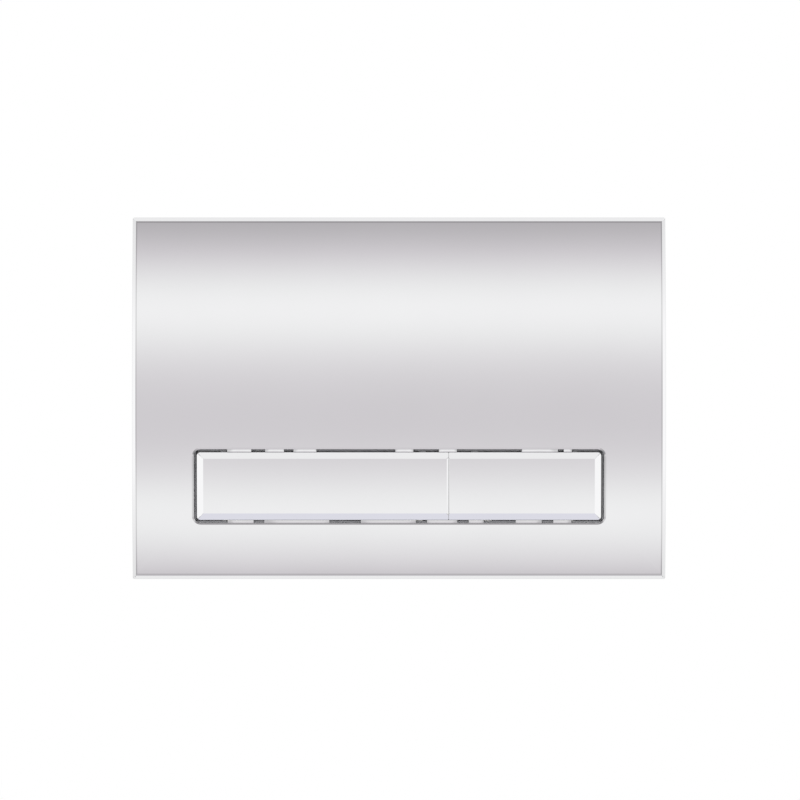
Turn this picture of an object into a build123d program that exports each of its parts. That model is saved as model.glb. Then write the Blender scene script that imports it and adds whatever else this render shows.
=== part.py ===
from build123d import *

import os
from dataclasses import dataclass
from math import asin, cos, degrees, pi, radians, sin, sqrt

# Dual flush plate for a concealed cistern, in millimetres.
# X runs to the right, Y into the wall and Z up.
# The origin is the middle of the plate on the finished wall, so the room is at -Y.
# The face is bowed: it is part of a cylinder that lies along X.

# Face plate
PLATE_WIDTH = 246.0
PLATE_HEIGHT = 167.0
PLATE_DEPTH = 17.0  # from the wall to the crown of the face
FACE_BOW = 6.0  # how far the crown stands out past the top and bottom edges
PLATE_WALL = 2.4
PLATE_CORNER = 0.8
RIM_BEVEL = 1.6  # across the face and into its depth
BEVEL_OVERRUN = 1.0  # degrees that a turned bevel cut reaches past the face
RIB_WALL = 1.4
RIB_HEIGHT = 2.2
RIB_COLUMNS = (-45.0, 0.0, 45.0)
RIB_ROWS = (22.0, 48.0)
RIB_END_ROOM = 12.0  # from the ends of the ribs to what bounds them

# Window for the buttons
WINDOW_SIDE = 28.4  # from each end of the plate to the window
WINDOW_LIFT = 26.0  # from the plate's lower edge up to the window
WINDOW_HEIGHT = 34.0
WINDOW_CORNER = 3.2
WINDOW_EDGE = 0.8
COLLAR_WALL = 1.8
COLLAR_LAP = 1.1  # the collar reaches this far past the rear of the button caps
LUG_WALL = 1.0  # guide lugs stand this far into the gap round the buttons
LUG_SETBACK = 0.9  # from the face to the front of a lug
# Each lug is its place, as a share of the window's width from the middle, and its length.
TOP_LUGS = (
    (-0.389, 11.1),
    (-0.303, 8.7),
    (-0.229, 10.6),
    (0.013, 8.3),
    (0.119, 8.3),
    (0.343, 16.6),
    (0.411, 3.7),
)
BOTTOM_LUGS = (
    (-0.386, 12.0),
    (-0.249, 30.0),
    (-0.026, 25.3),
    (0.105, 13.9),
    (0.188, 6.9),
    (0.316, 12.0),
    (0.398, 8.3),
)

# Button caps
BUTTON_GAP = 1.4
SPLIT_GAP = 0.2
HALF_BUTTON_WIDTH = 70.2
BEVEL_WIDTH = 3.0
BEVEL_DEPTH = 1.2
SPLIT_BREAK = 0.4  # small bevel on the edges where the two buttons meet
CAP_WALL = 1.8
CAP_LAP = 0.8  # the cap's walls reach this far past the rocker's plate
HOOK_WIDTH = 5.0  # snap hooks behind the cap, which hold it on its rocker
HOOK_WALL = 1.2
HOOK_CATCH = 0.7
HOOK_PLAY = 0.1
HOOK_FLEX = 0.9  # room for a hook to bend as it snaps in
HOOK_INSET = 8.0
HOOK_SPACING = 10.0
SEAT_INSET = 14.0  # ribs behind the cap, on which the rocker's plate lies

# Rockers, which carry the caps and turn on the hinge pins
ROCKER_WALL = 1.6
ROCKER_ROOM = 1.5  # between the cap's skin and the rocker, at the button's lower edge
ROCKER_PLAY = 0.4  # round the rocker's edge, inside the cap
ROCKER_RIB = 1.4
PRESS_ANGLE = 12.0
PRESS_ROOM = 0.5  # left behind a rocker that is pressed right in
PIVOT_SETBACK = 2.5  # from the rocker's front to the hinge pin's axis
KNUCKLE_RADIUS = 3.0
KNUCKLE_LENGTH = 8.0
KNUCKLE_ROOM = 0.4
PAD_WIDTH = 10.0  # square pad that bears on a push rod
PAD_HEIGHT = 1.0
TONGUE_WIDTH = 8.0
TONGUE_WALL = 1.8
TONGUE_INSET = 16.0

# Hinge pins
PIN_RADIUS = 1.5
PIN_PLAY = 0.05  # radial, in the knuckles that turn
PRESS_PLAY = 0.01  # radial, between pieces that are pressed or screwed together
PIN_END = 2.0  # each pin stands this far out of its last ear
EAR_WALL = 3.0
EAR_INSET = 12.0

# Carrier behind the window
TRAY_PLAY = 0.6  # round the buttons
TRAY_WALL = 1.8
FLANGE_WALL = 2.0
FLOOR_WALL = 2.5
FLOOR_FRAME = 5.0  # width of the floor that is left round its openings
SCREW_ROOM = 5.0  # from the collar to a screw's axis
SCREW_EDGE = 4.0  # from a screw's axis to the flange's edge
BOSS_RADIUS = 3.5
SLEEVE_RADIUS = 5.0
SLEEVE_LENGTH = 10.0
SEAT_RADIUS = 7.0  # round spring seat on the floor

# Self-tapping screws
SCREW_RADIUS = 1.4
SCREW_HEAD_RADIUS = 2.6
SCREW_HEAD = 1.8
SCREW_HOLE_PLAY = 0.3
SCREW_TIP_ROOM = 0.3

# Rubber bumpers
BUMPER_WIDTH = 6.0
BUMPER_HEIGHT = 4.0
BUMPER_WALL = 0.8
SEAT_GAP = 0.3  # between a moving piece and its stop or seat

# Push rods, their springs and thumb nuts
ROD_SPACING = 70.0
ROD_RISE = 8.0  # from a button's lower edge to its rod's axis
ROD_RADIUS = 3.0
ROD_PLAY = 0.05
ROD_SHANK = 52.0
ROD_END_RADIUS = 2.5
ROD_END_LENGTH = 12.0
HEAD_RADIUS = 5.0
HEAD_RIM = 2.0
NOSE_RADIUS = 1.5  # pip on the head, which meets the rocker's pad
NOSE_HEIGHT = 1.1
SPRING_WIRE = 0.8
SPRING_RADIUS = 4.2  # to the middle of the wire
SPRING_TURNS = 4.5
SPRING_STEPS = 10  # straight lengths in one turn
SPRING_SIDES = 5
SPRING_SEAT_GAP = 0.05
ROD_NUT_RADIUS = 7.0
ROD_NUT_LENGTH = 5.0
NOTCH_DEPTH = 1.0  # grip notches round a thumb nut
NOTCH_COUNT = 8
NOTCH_SHARE = 0.45  # of the rim that the notches take

# Mounting frame on the wall
FRAME_DEPTH = 5.0
FRAME_PLAY = 1.6  # between the frame and the plate's rim
FRAME_ROOM = 1.0  # between the frame and the carrier's flange
FRAME_TOP_BAR = 13.5
FRAME_CORNER = 5.0
POCKET_WALL = 2.0
POCKET_DEPTH = 3.0
SIDE_POCKETS = 5
TOP_POCKETS = 4
EYE_WALL = 2.5
EYE_HEIGHT = 24.0
EYE_REACH = 11.0  # from a stud's axis to the inner end of its eye
SLOT_LENGTH = 14.0
SLOT_PLAY = 0.3

# Fixing studs
STUD_SPACING = 160.0
STUD_RISE = 12.7  # from the carrier's flange up to the studs
STUD_FRONT_RADIUS = 3.0
STUD_REAR_RADIUS = 4.0
STUD_REAR_LENGTH = 58.0
STUD_TIP = 0.8  # the stud stands this far out of its nut
STUD_ROOM = 1.6  # from the stud to the inside of the face
COLLAR_FLATS = 11.0
COLLAR_LENGTH = 2.5
WASHER_RADIUS = 8.0
WASHER_WALL = 1.2
FIXING_NUT_RADIUS = 9.0
FIXING_NUT_LENGTH = 6.0

# Spring clips that hold the face plate on the frame
CLIP_SPACING = 140.0
CLIP_WIDTH = 8.0
CLIP_STRIP = 0.4
CLIP_BULGE = 1.2  # how far a leg stands out past the tongue, to catch in the frame
CLIP_PLAY = 0.15
CLIP_END_ROOM = 0.6  # from the clip's closed end to the wall
CLIP_REACH = 2.4  # the legs stand this far out of the frame's front
CATCH_DEPTH = 1.8  # thickness of the frame's front lip that the clip catches behind
POST_WALL = 2.0
POST_WIDTH = 9.0


def span(size, middle=0.0):
    """The two ends of a size about its middle."""
    return middle - size / 2, middle + size / 2


def grown(ends, by):
    """The two ends moved apart by the same distance each."""
    return ends[0] - by, ends[1] + by


# The face's arc
FACE_RADIUS = ((PLATE_HEIGHT / 2) ** 2 + FACE_BOW**2) / (2 * FACE_BOW)
FACE_AXIS_Y = FACE_RADIUS - PLATE_DEPTH


def face_y(z, under=0.0):
    """Y of the bowed surface that lies under the face by a depth, at height z."""
    return FACE_AXIS_Y - sqrt((FACE_RADIUS - under) ** 2 - z * z)


# Outlines across the plate
PLATE_X = span(PLATE_WIDTH)
PLATE_Z = span(PLATE_HEIGHT)
CAVITY_X = grown(PLATE_X, -PLATE_WALL)
CAVITY_Z = grown(PLATE_Z, -PLATE_WALL)
WINDOW_X = grown(PLATE_X, -WINDOW_SIDE)
WINDOW_WIDTH = WINDOW_X[1] - WINDOW_X[0]
WINDOW_LOW = PLATE_Z[0] + WINDOW_LIFT
WINDOW_Z = (WINDOW_LOW, WINDOW_LOW + WINDOW_HEIGHT)
PAIR_X = grown(WINDOW_X, -BUTTON_GAP)
BUTTON_LOW, BUTTON_HIGH = grown(WINDOW_Z, -BUTTON_GAP)
TRAY_X = grown(PAIR_X, TRAY_PLAY)
TRAY_Z = grown((BUTTON_LOW, BUTTON_HIGH), TRAY_PLAY)
SPLIT_X = PAIR_X[1] - HALF_BUTTON_WIDTH - SPLIT_GAP / 2
PIVOT_Z = BUTTON_HIGH - CAP_WALL - ROCKER_PLAY - KNUCKLE_RADIUS
ROCKER_LOW = BUTTON_LOW + CAP_WALL + ROCKER_PLAY
ROCKER_HIGH = PIVOT_Z - KNUCKLE_RADIUS - KNUCKLE_ROOM
ROD_Z = BUTTON_LOW + ROD_RISE
BUMPER_Z = span(BUMPER_HEIGHT, TRAY_Z[0] - SEAT_GAP - BUMPER_HEIGHT / 2)
FOOT_LOW = BUMPER_Z[0]
SCREW_Z = grown(WINDOW_Z, COLLAR_WALL + SCREW_ROOM)
SCREW_X = grown(WINDOW_X, COLLAR_WALL + BOSS_RADIUS)
SCREW_PLACES = [(x, z) for x in SCREW_X for z in SCREW_Z]
FLANGE_X = grown(SCREW_X, SCREW_EDGE)
FLANGE_Z = grown(SCREW_Z, SCREW_EDGE)
STUD_Z = FLANGE_Z[1] + STUD_RISE

# Levels through the plate's depth, from the room to the wall
ROCKER_FRONT = face_y(BUTTON_LOW, CAP_WALL) + ROCKER_ROOM
ROCKER_REAR = ROCKER_FRONT + ROCKER_WALL
PIVOT_Y = ROCKER_FRONT + PIVOT_SETBACK
CAP_REAR = ROCKER_REAR + CAP_LAP
PAD_REAR = ROCKER_REAR + PAD_HEIGHT
COLLAR_REAR = CAP_REAR + COLLAR_LAP
FLANGE_REAR = COLLAR_REAR + FLANGE_WALL
FOOT_FRONT = FLANGE_REAR + BUMPER_WALL + SEAT_GAP
FOOT_REAR = FOOT_FRONT + TONGUE_WALL
PRESSED_REAR = (
    PIVOT_Y
    + (FOOT_REAR - PIVOT_Y) * cos(radians(PRESS_ANGLE))
    + (PIVOT_Z - FOOT_LOW) * sin(radians(PRESS_ANGLE))
)
FLOOR_FRONT = PRESSED_REAR + PRESS_ROOM
FLOOR_REAR = FLOOR_FRONT + FLOOR_WALL
SLEEVE_REAR = FLOOR_REAR + SLEEVE_LENGTH
ROD_TIP = PAD_REAR + SEAT_GAP
HEAD_FRONT = ROD_TIP + NOSE_HEIGHT
HEAD_REAR = HEAD_FRONT + HEAD_RIM
SHANK_REAR = HEAD_REAR + ROD_SHANK
SCREW_TIP = face_y(SCREW_Z[0], PLATE_WALL) + SCREW_TIP_ROOM
EYE_FRONT = (
    face_y(STUD_Z, PLATE_WALL) + STUD_ROOM + STUD_TIP + FIXING_NUT_LENGTH + WASHER_WALL
)
EYE_REAR = EYE_FRONT + EYE_WALL
STUD_COLLAR_REAR = EYE_REAR + COLLAR_LENGTH

# Frame on the wall
FRAME_X = grown(CAVITY_X, -FRAME_PLAY)
FRAME_Z = grown(CAVITY_Z, -FRAME_PLAY)
OPENING_X = grown(FLANGE_X, FRAME_ROOM)
OPENING_Z = (FLANGE_Z[0] - FRAME_ROOM, FRAME_Z[1] - FRAME_TOP_BAR)
CLIP_Z = ((FRAME_Z[0] + OPENING_Z[0]) / 2, (FRAME_Z[1] + OPENING_Z[1]) / 2)
CLIP_PLACES = [(x, z) for x in span(CLIP_SPACING) for z in CLIP_Z]
CLIP_SLOT_WIDTH = POST_WIDTH + 2 * FRAME_ROOM
STUD_X = span(STUD_SPACING)
POST_TIP = -CLIP_END_ROOM - CLIP_STRIP - CLIP_PLAY


@dataclass
class Button:
    """One flush button: its ends, its rod and the side on the window's edge."""

    name: str
    left: float
    right: float
    rod_x: float
    outer_side: int

    @property
    def outer_end(self):
        """X of the end beside the window's edge."""
        return self.right if self.outer_side > 0 else self.left

    @property
    def split_end(self):
        """X of the end beside the other button."""
        return self.left if self.outer_side > 0 else self.right

    def inset(self, distance):
        """X of the two places at a distance from the button's ends."""
        return self.left + distance, self.right - distance

    def knuckles(self):
        """X ends of the two hinge knuckles, which lie inside the two ears."""
        start = EAR_INSET + EAR_WALL / 2 + KNUCKLE_ROOM
        near, far = self.inset(start)
        return (near, near + KNUCKLE_LENGTH), (far - KNUCKLE_LENGTH, far)


FULL = Button(
    "full_flush",
    PAIR_X[0],
    SPLIT_X - SPLIT_GAP / 2,
    SPLIT_X - ROD_SPACING / 2,
    -1,
)
HALF = Button(
    "half_flush",
    SPLIT_X + SPLIT_GAP / 2,
    PAIR_X[1],
    SPLIT_X + ROD_SPACING / 2,
    1,
)
BUTTONS = (FULL, HALF)


def block(x_ends, y_ends, z_ends):
    """Box between two ends along each axis."""
    ends = (x_ends, y_ends, z_ends)
    middle = [(low + high) / 2 for low, high in ends]
    return Pos(*middle) * Box(*[high - low for low, high in ends])


def round_bar(radius, x, z, y_ends):
    """Cylinder along Y."""
    middle = (y_ends[0] + y_ends[1]) / 2
    return Pos(x, middle, z) * Rot(90, 0, 0) * Cylinder(radius, y_ends[1] - y_ends[0])


def cross_bar(radius, y, z, x_ends):
    """Cylinder along X."""
    middle = (x_ends[0] + x_ends[1]) / 2
    return Pos(middle, y, z) * Rot(0, 90, 0) * Cylinder(radius, x_ends[1] - x_ends[0])


def prism(outline, y_front, y_rear):
    """Outline in X and Z, carried from one depth to another."""
    return extrude(Plane.XZ.offset(-y_rear) * outline, y_rear - y_front)


def rail(profile, x_ends):
    """Profile in Y and Z, carried along X."""
    return extrude(Plane.YZ.offset(x_ends[0]) * profile, x_ends[1] - x_ends[0])


def rounded_frame(x_ends, z_ends, radius):
    """Rounded rectangle between two ends along X and Z."""
    middle = Pos((x_ends[0] + x_ends[1]) / 2, (z_ends[0] + z_ends[1]) / 2)
    return middle * RectangleRounded(
        x_ends[1] - x_ends[0], z_ends[1] - z_ends[0], radius
    )


def window_outline(by=0.0):
    """The window's outline, grown or shrunk by the same distance all round."""
    return rounded_frame(grown(WINDOW_X, by), grown(WINDOW_Z, by), WINDOW_CORNER + by)


def bowed_profile(under, y_rear, z_ends):
    """Area between the bowed surface at a depth under the face and a flat rear."""
    low, high = z_ends
    middle = (low + high) / 2
    arc = ThreePointArc(
        (face_y(low, under), low),
        (face_y(middle, under), middle),
        (face_y(high, under), high),
    )
    back = Polyline(
        (face_y(high, under), high),
        (y_rear, high),
        (y_rear, low),
        (face_y(low, under), low),
    )
    return make_face(arc + back)


def bowed_slab(under, y_rear, x_ends, z_ends):
    """Solid between the bowed surface at a depth under the face and a flat rear."""
    return rail(bowed_profile(under, y_rear, z_ends), x_ends)


def bevel_wedge(inner, outer):
    """Triangle that lies on a bevel's slope and reaches past both of its edges."""
    run = outer - inner
    start, end = inner - run, outer + run
    return make_face(Polyline(start, end, (start.X, end.Y), close=True))


def edge_bevel(z_end, side, width, depth):
    """Cutter that bevels the face along an upper or lower edge, the whole way across."""
    inner_z = z_end - side * width
    inner = Vector(face_y(inner_z), inner_z)
    outer = Vector(face_y(z_end, depth), z_end)
    return rail(bevel_wedge(inner, outer), PLATE_X)


def end_bevel(x_end, side, width, depth):
    """Cutter that bevels the face along one end, turned about the axis of its arc."""
    inner = Vector(-PLATE_DEPTH, x_end - side * width)
    outer = Vector(-PLATE_DEPTH + depth, x_end)
    wedge = Plane((0, 0, 0), x_dir=(0, 1, 0), z_dir=(0, 0, -1)) * bevel_wedge(inner, outer)
    axis = Axis((0, FACE_AXIS_Y, 0), (1, 0, 0))
    arc = degrees(asin(PLATE_Z[1] / FACE_RADIUS)) + BEVEL_OVERRUN
    return revolve(wedge.rotate(axis, -arc), axis, 2 * arc)


def behind_skin(solid, y_rear):
    """The part of a solid that lies behind the middle of the face plate's skin."""
    return solid & bowed_slab(PLATE_WALL / 2, y_rear, PLATE_X, PLATE_Z)


def face_ribs():
    """Low ribs that stiffen the blank part of the face, above the window."""
    z_ends = (SCREW_Z[1] + RIB_END_ROOM, CAVITY_Z[1] - RIB_END_ROOM)
    x_ends = grown(CAVITY_X, -RIB_END_ROOM)
    y_ends = (-PLATE_DEPTH, 0)
    grid = [block(span(RIB_WALL, x), y_ends, z_ends) for x in RIB_COLUMNS]
    grid += [block(x_ends, y_ends, span(RIB_WALL, z)) for z in RIB_ROWS]
    deep = bowed_slab(PLATE_WALL + RIB_HEIGHT, 0, PLATE_X, PLATE_Z)
    return [behind_skin(rib, 0) - deep for rib in grid]


def guide_lug(share, length, wall_z, inward):
    """Lug on the window's wall that keeps the buttons centred in the gap."""
    z_ends = sorted((wall_z - inward * COLLAR_WALL / 2, wall_z + inward * LUG_WALL))
    front = face_y(wall_z) + LUG_SETBACK
    return block(span(length, share * WINDOW_WIDTH), (front, COLLAR_REAR), z_ends)


def face_plate():
    """Bowed shell with the button window, its collar, screw bosses and clip posts."""
    shell = bowed_slab(0, 0, PLATE_X, PLATE_Z)
    for side in (-1, 1):
        shell -= end_bevel(side * PLATE_X[1], side, RIM_BEVEL, RIM_BEVEL)
        shell -= edge_bevel(side * PLATE_Z[1], side, RIM_BEVEL, RIM_BEVEL)
    shell &= prism(rounded_frame(PLATE_X, PLATE_Z, PLATE_CORNER), -PLATE_DEPTH, 0)
    shell -= bowed_slab(PLATE_WALL, PLATE_DEPTH, CAVITY_X, CAVITY_Z)

    collar = prism(window_outline(COLLAR_WALL), -PLATE_DEPTH, COLLAR_REAR)
    shell += behind_skin(collar, COLLAR_REAR)
    shell += face_ribs()
    for x, z in SCREW_PLACES:
        boss = round_bar(BOSS_RADIUS, x, z, (-PLATE_DEPTH, COLLAR_REAR))
        shell += behind_skin(boss, COLLAR_REAR)
    for x, z in CLIP_PLACES:
        post = block(span(POST_WIDTH, x), (-PLATE_DEPTH, POST_TIP), span(POST_WALL, z))
        shell += behind_skin(post, POST_TIP)

    shell -= prism(window_outline(), -PLATE_DEPTH, COLLAR_REAR)
    for x, z in SCREW_PLACES:
        pilot_y = (face_y(z, PLATE_WALL), COLLAR_REAR)
        shell -= round_bar(SCREW_RADIUS + PRESS_PLAY, x, z, pilot_y)

    front = shell.faces().filter_by(GeomType.CYLINDER).sort_by(SortBy.AREA)[-1]
    shell = chamfer(front.inner_wires()[0].edges(), WINDOW_EDGE)
    for share, length in TOP_LUGS:
        shell += guide_lug(share, length, WINDOW_Z[1], -1)
    for share, length in BOTTOM_LUGS:
        shell += guide_lug(share, length, WINDOW_Z[0], 1)
    return shell


def hook_places(button):
    """Places of a cap's snap hooks, each with the way that its catch points along Z."""
    middle = (ROCKER_LOW + ROCKER_HIGH) / 2
    return [
        (x, middle + way * HOOK_SPACING / 2, way)
        for x in button.inset(HOOK_INSET)
        for way in (-1, 1)
    ]


def snap_hook(x, z, way):
    """Hook from the cap's skin through the rocker's plate, with a sloped catch."""
    catch_y = ROCKER_REAR + HOOK_PLAY
    tip_y = catch_y + HOOK_WALL
    profile = Polyline(
        (-PLATE_DEPTH, z),
        (catch_y, z),
        (catch_y, z + way * HOOK_CATCH),
        (tip_y, z),
        (tip_y, z - way * HOOK_WALL),
        (-PLATE_DEPTH, z - way * HOOK_WALL),
        close=True,
    )
    return rail(make_face(profile), span(HOOK_WIDTH, x))


def button_cap(button):
    """Hollow bevelled cap whose face carries on the curve of the plate."""
    z_ends = (BUTTON_LOW, BUTTON_HIGH)
    x_ends = (button.left, button.right)
    cap = bowed_slab(0, CAP_REAR, x_ends, z_ends)
    cap -= edge_bevel(BUTTON_LOW, -1, BEVEL_WIDTH, BEVEL_DEPTH)
    cap -= edge_bevel(BUTTON_HIGH, 1, BEVEL_WIDTH, BEVEL_DEPTH)
    cap -= end_bevel(button.outer_end, button.outer_side, BEVEL_WIDTH, BEVEL_DEPTH)
    cap -= end_bevel(button.split_end, -button.outer_side, SPLIT_BREAK, SPLIT_BREAK)
    cap &= prism(window_outline(-BUTTON_GAP), -PLATE_DEPTH, CAP_REAR)
    cap -= bowed_slab(
        CAP_WALL, PLATE_DEPTH, grown(x_ends, -CAP_WALL), grown(z_ends, -CAP_WALL)
    )
    behind = bowed_slab(CAP_WALL / 2, PLATE_DEPTH, x_ends, z_ends)
    for x in button.inset(SEAT_INSET):
        seat_z = (ROCKER_LOW, ROCKER_HIGH)
        cap += block(span(HOOK_WALL, x), (-PLATE_DEPTH, ROCKER_FRONT), seat_z) & behind
    for x, z, way in hook_places(button):
        cap += snap_hook(x, z, way) & behind
    return cap


def stop_tongue(x):
    """Bent tongue at a rocker's lower edge that comes to rest on a buffer."""
    x_ends = span(TONGUE_WIDTH, x)
    leg = block(x_ends, (ROCKER_FRONT, FOOT_REAR), (ROCKER_LOW, ROCKER_LOW + TONGUE_WALL))
    foot = block(x_ends, (FOOT_FRONT, FOOT_REAR), (FOOT_LOW, ROCKER_LOW + TONGUE_WALL))
    return leg + foot


def rocker(button):
    """Lever inside a cap, with hinge knuckles, a push pad and two stop tongues."""
    x_ends = button.inset(CAP_WALL + ROCKER_PLAY)
    body = block(x_ends, (ROCKER_FRONT, ROCKER_REAR), (ROCKER_LOW, ROCKER_HIGH))
    rib_y = (ROCKER_REAR, ROCKER_REAR + ROCKER_RIB)
    ribs = [
        block(x_ends, rib_y, (ROCKER_HIGH - ROCKER_RIB, ROCKER_HIGH)),
        block(x_ends, rib_y, (ROCKER_LOW, ROCKER_LOW + ROCKER_RIB)),
    ]
    for x in button.inset(TONGUE_INSET):
        ribs.append(block(span(ROCKER_RIB, x), rib_y, (ROCKER_LOW, ROCKER_HIGH)))
    head_room = block(
        span(2 * HEAD_RADIUS + 2 * ROCKER_RIB, button.rod_x), rib_y, (ROCKER_LOW, ROCKER_HIGH)
    )
    for rib in ribs:
        body += rib - head_room
    pad_x, pad_z = span(PAD_WIDTH, button.rod_x), span(PAD_WIDTH, ROD_Z)
    body += block(pad_x, (ROCKER_REAR, PAD_REAR), pad_z)
    for x in button.inset(TONGUE_INSET):
        body += stop_tongue(x)
    for knuckle in button.knuckles():
        arm_z = (ROCKER_HIGH - KNUCKLE_RADIUS, PIVOT_Z)
        body += block(knuckle, (ROCKER_FRONT, PIVOT_Y + PIN_RADIUS), arm_z)
        body += cross_bar(KNUCKLE_RADIUS, PIVOT_Y, PIVOT_Z, knuckle)
    body -= cross_bar(PIN_RADIUS + PIN_PLAY, PIVOT_Y, PIVOT_Z, x_ends)
    for x, z, way in hook_places(button):
        hole_x = span(HOOK_WIDTH + 2 * HOOK_PLAY, x)
        flex_end = z - way * (HOOK_WALL + HOOK_FLEX)
        hole_z = sorted((z + way * HOOK_PLAY, flex_end))
        body -= block(hole_x, (ROCKER_FRONT, ROCKER_REAR), hole_z)
    return body


def hinge_pin(button):
    """Steel pin through the ears of the carrier and the knuckles of a rocker."""
    reach = EAR_INSET - EAR_WALL / 2 - PIN_END
    return cross_bar(PIN_RADIUS, PIVOT_Y, PIVOT_Z, button.inset(reach))


def carrier_screws():
    """The self-tapping screws that hold the carrier on the face plate."""
    head_y = (FLANGE_REAR, FLANGE_REAR + SCREW_HEAD)
    return [
        round_bar(SCREW_HEAD_RADIUS, x, z, head_y)
        + round_bar(SCREW_RADIUS, x, z, (SCREW_TIP, FLANGE_REAR))
        for x, z in SCREW_PLACES
    ]


def hinge_ear(x):
    """Ear on the tray's floor and upper wall that holds a hinge pin."""
    top = TRAY_Z[1] + TRAY_WALL / 2
    neck = block(
        span(EAR_WALL, x),
        (PIVOT_Y, FLOOR_FRONT + FLOOR_WALL / 2),
        span(2 * KNUCKLE_RADIUS, PIVOT_Z),
    )
    gusset = block(
        span(EAR_WALL, x),
        (FLANGE_REAR, FLOOR_FRONT + FLOOR_WALL / 2),
        (PIVOT_Z, top),
    )
    return neck + gusset + cross_bar(KNUCKLE_RADIUS, PIVOT_Y, PIVOT_Z, span(EAR_WALL, x))


def floor_openings(button):
    """Openings in the tray's floor, on both sides of a rod."""
    left, right = button.inset(FLOOR_FRAME)
    z_ends = (BUTTON_LOW + FLOOR_FRAME, ROCKER_HIGH)
    sides = ((left, button.rod_x - SEAT_RADIUS), (button.rod_x + SEAT_RADIUS, right))
    return [block(x_ends, (FLOOR_FRONT, FLOOR_REAR), z_ends) for x_ends in sides]


def button_carrier():
    """Flanged tray behind the window, with hinge ears and guide sleeves for the rods."""
    carrier = block(FLANGE_X, (COLLAR_REAR, FLANGE_REAR), FLANGE_Z)
    tray_x, tray_z = grown(TRAY_X, TRAY_WALL), grown(TRAY_Z, TRAY_WALL)
    carrier += block(tray_x, (FLANGE_REAR, FLOOR_REAR), tray_z)
    carrier -= block(TRAY_X, (COLLAR_REAR, FLOOR_FRONT), TRAY_Z)
    for button in BUTTONS:
        carrier -= floor_openings(button)
        for x in button.inset(EAR_INSET):
            carrier += hinge_ear(x)
        carrier += round_bar(SLEEVE_RADIUS, button.rod_x, ROD_Z, (FLOOR_REAR, SLEEVE_REAR))
        carrier -= round_bar(
            ROD_RADIUS + ROD_PLAY, button.rod_x, ROD_Z, (FLOOR_FRONT, SLEEVE_REAR)
        )
        pin_hole = PIN_RADIUS + PRESS_PLAY
        carrier -= cross_bar(pin_hole, PIVOT_Y, PIVOT_Z, (button.left, button.right))
        for x in button.inset(TONGUE_INSET):
            notch_x = span(TONGUE_WIDTH + 2 * TRAY_PLAY, x)
            notch_z = (FOOT_LOW, BUTTON_LOW)
            carrier -= block(notch_x, (FLANGE_REAR, FLOOR_FRONT), notch_z)
    for x, z in SCREW_PLACES:
        hole = SCREW_RADIUS + SCREW_HOLE_PLAY
        carrier -= round_bar(hole, x, z, (COLLAR_REAR, FLANGE_REAR))
    return carrier


def rest_bumpers():
    """Rubber pads on the flange, on which the rockers' tongues come to rest."""
    bumper_y = (FLANGE_REAR, FLANGE_REAR + BUMPER_WALL)
    return [
        block(span(BUMPER_WIDTH, x), bumper_y, BUMPER_Z)
        for button in BUTTONS
        for x in button.inset(TONGUE_INSET)
    ]


def push_rod(button):
    """Rod with a head and a pip under the rocker's pad, and a plain stepped end."""
    end = SHANK_REAR + ROD_END_LENGTH
    outline = Polyline(
        (0, ROD_TIP),
        (NOSE_RADIUS, ROD_TIP),
        (NOSE_RADIUS, HEAD_FRONT),
        (HEAD_RADIUS, HEAD_FRONT),
        (HEAD_RADIUS, HEAD_REAR),
        (ROD_RADIUS, HEAD_REAR),
        (ROD_RADIUS, SHANK_REAR),
        (ROD_END_RADIUS, SHANK_REAR),
        (ROD_END_RADIUS, end),
        (0, end),
        close=True,
    )
    return Pos(button.rod_x, 0, ROD_Z) * revolve(make_face(outline), Axis.Y)


def return_spring(button):
    """Coil spring round a push rod, between its head and the tray's floor."""
    gap = SPRING_WIRE / 2 + SPRING_SEAT_GAP
    start, end = HEAD_REAR + gap, FLOOR_FRONT - gap
    count = round(SPRING_TURNS * SPRING_STEPS)
    coil = []
    for step in range(count + 1):
        turn = 2 * pi * step / SPRING_STEPS
        along = start + (end - start) * step / count
        coil.append((SPRING_RADIUS * cos(turn), along, SPRING_RADIUS * sin(turn)))
    path = Polyline(*coil)
    wire = RegularPolygon(SPRING_WIRE / 2, SPRING_SIDES)
    section = Plane(origin=path @ 0, z_dir=path % 0) * wire
    spring = sweep(section, path=path, transition=Transition.RIGHT)
    return Pos(button.rod_x, 0, ROD_Z) * spring


def thumb_nut(x, z, y_ends, radius, bore):
    """Round nut with grip notches for the fingers."""
    pitch = 2 * pi / NOTCH_COUNT
    land = pitch * (1 - NOTCH_SHARE) / 2
    rim = []
    for index in range(NOTCH_COUNT):
        middle = index * pitch
        rim.append((radius * cos(middle - land), radius * sin(middle - land)))
        rim.append((radius * cos(middle + land), radius * sin(middle + land)))
        root, turn = radius - NOTCH_DEPTH, middle + pitch / 2
        rim.append((root * cos(turn), root * sin(turn)))
    outline = make_face(Polyline(*rim, close=True)) - Circle(bore)
    return prism(Pos(x, z) * outline, *y_ends)


def rod_nut(button):
    """Nut that sets how far a push rod reaches."""
    front = SLEEVE_REAR + SEAT_GAP
    return thumb_nut(
        button.rod_x,
        ROD_Z,
        (front, front + ROD_NUT_LENGTH),
        ROD_NUT_RADIUS,
        ROD_RADIUS + PRESS_PLAY,
    )


def stud_eye(x):
    """Eye on the inside of a frame's side bar, with a slot for a fixing stud."""
    side = 1 if x > 0 else -1
    x_ends = sorted((x - side * EYE_REACH, side * (OPENING_X[1] + POCKET_WALL)))
    outline = rounded_frame(x_ends, span(EYE_HEIGHT, STUD_Z), FRAME_CORNER)
    slot = Pos(x, STUD_Z) * SlotOverall(
        SLOT_LENGTH, 2 * (STUD_FRONT_RADIUS + SLOT_PLAY), rotation=90
    )
    return prism(outline - slot, EYE_FRONT, EYE_REAR)


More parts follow.
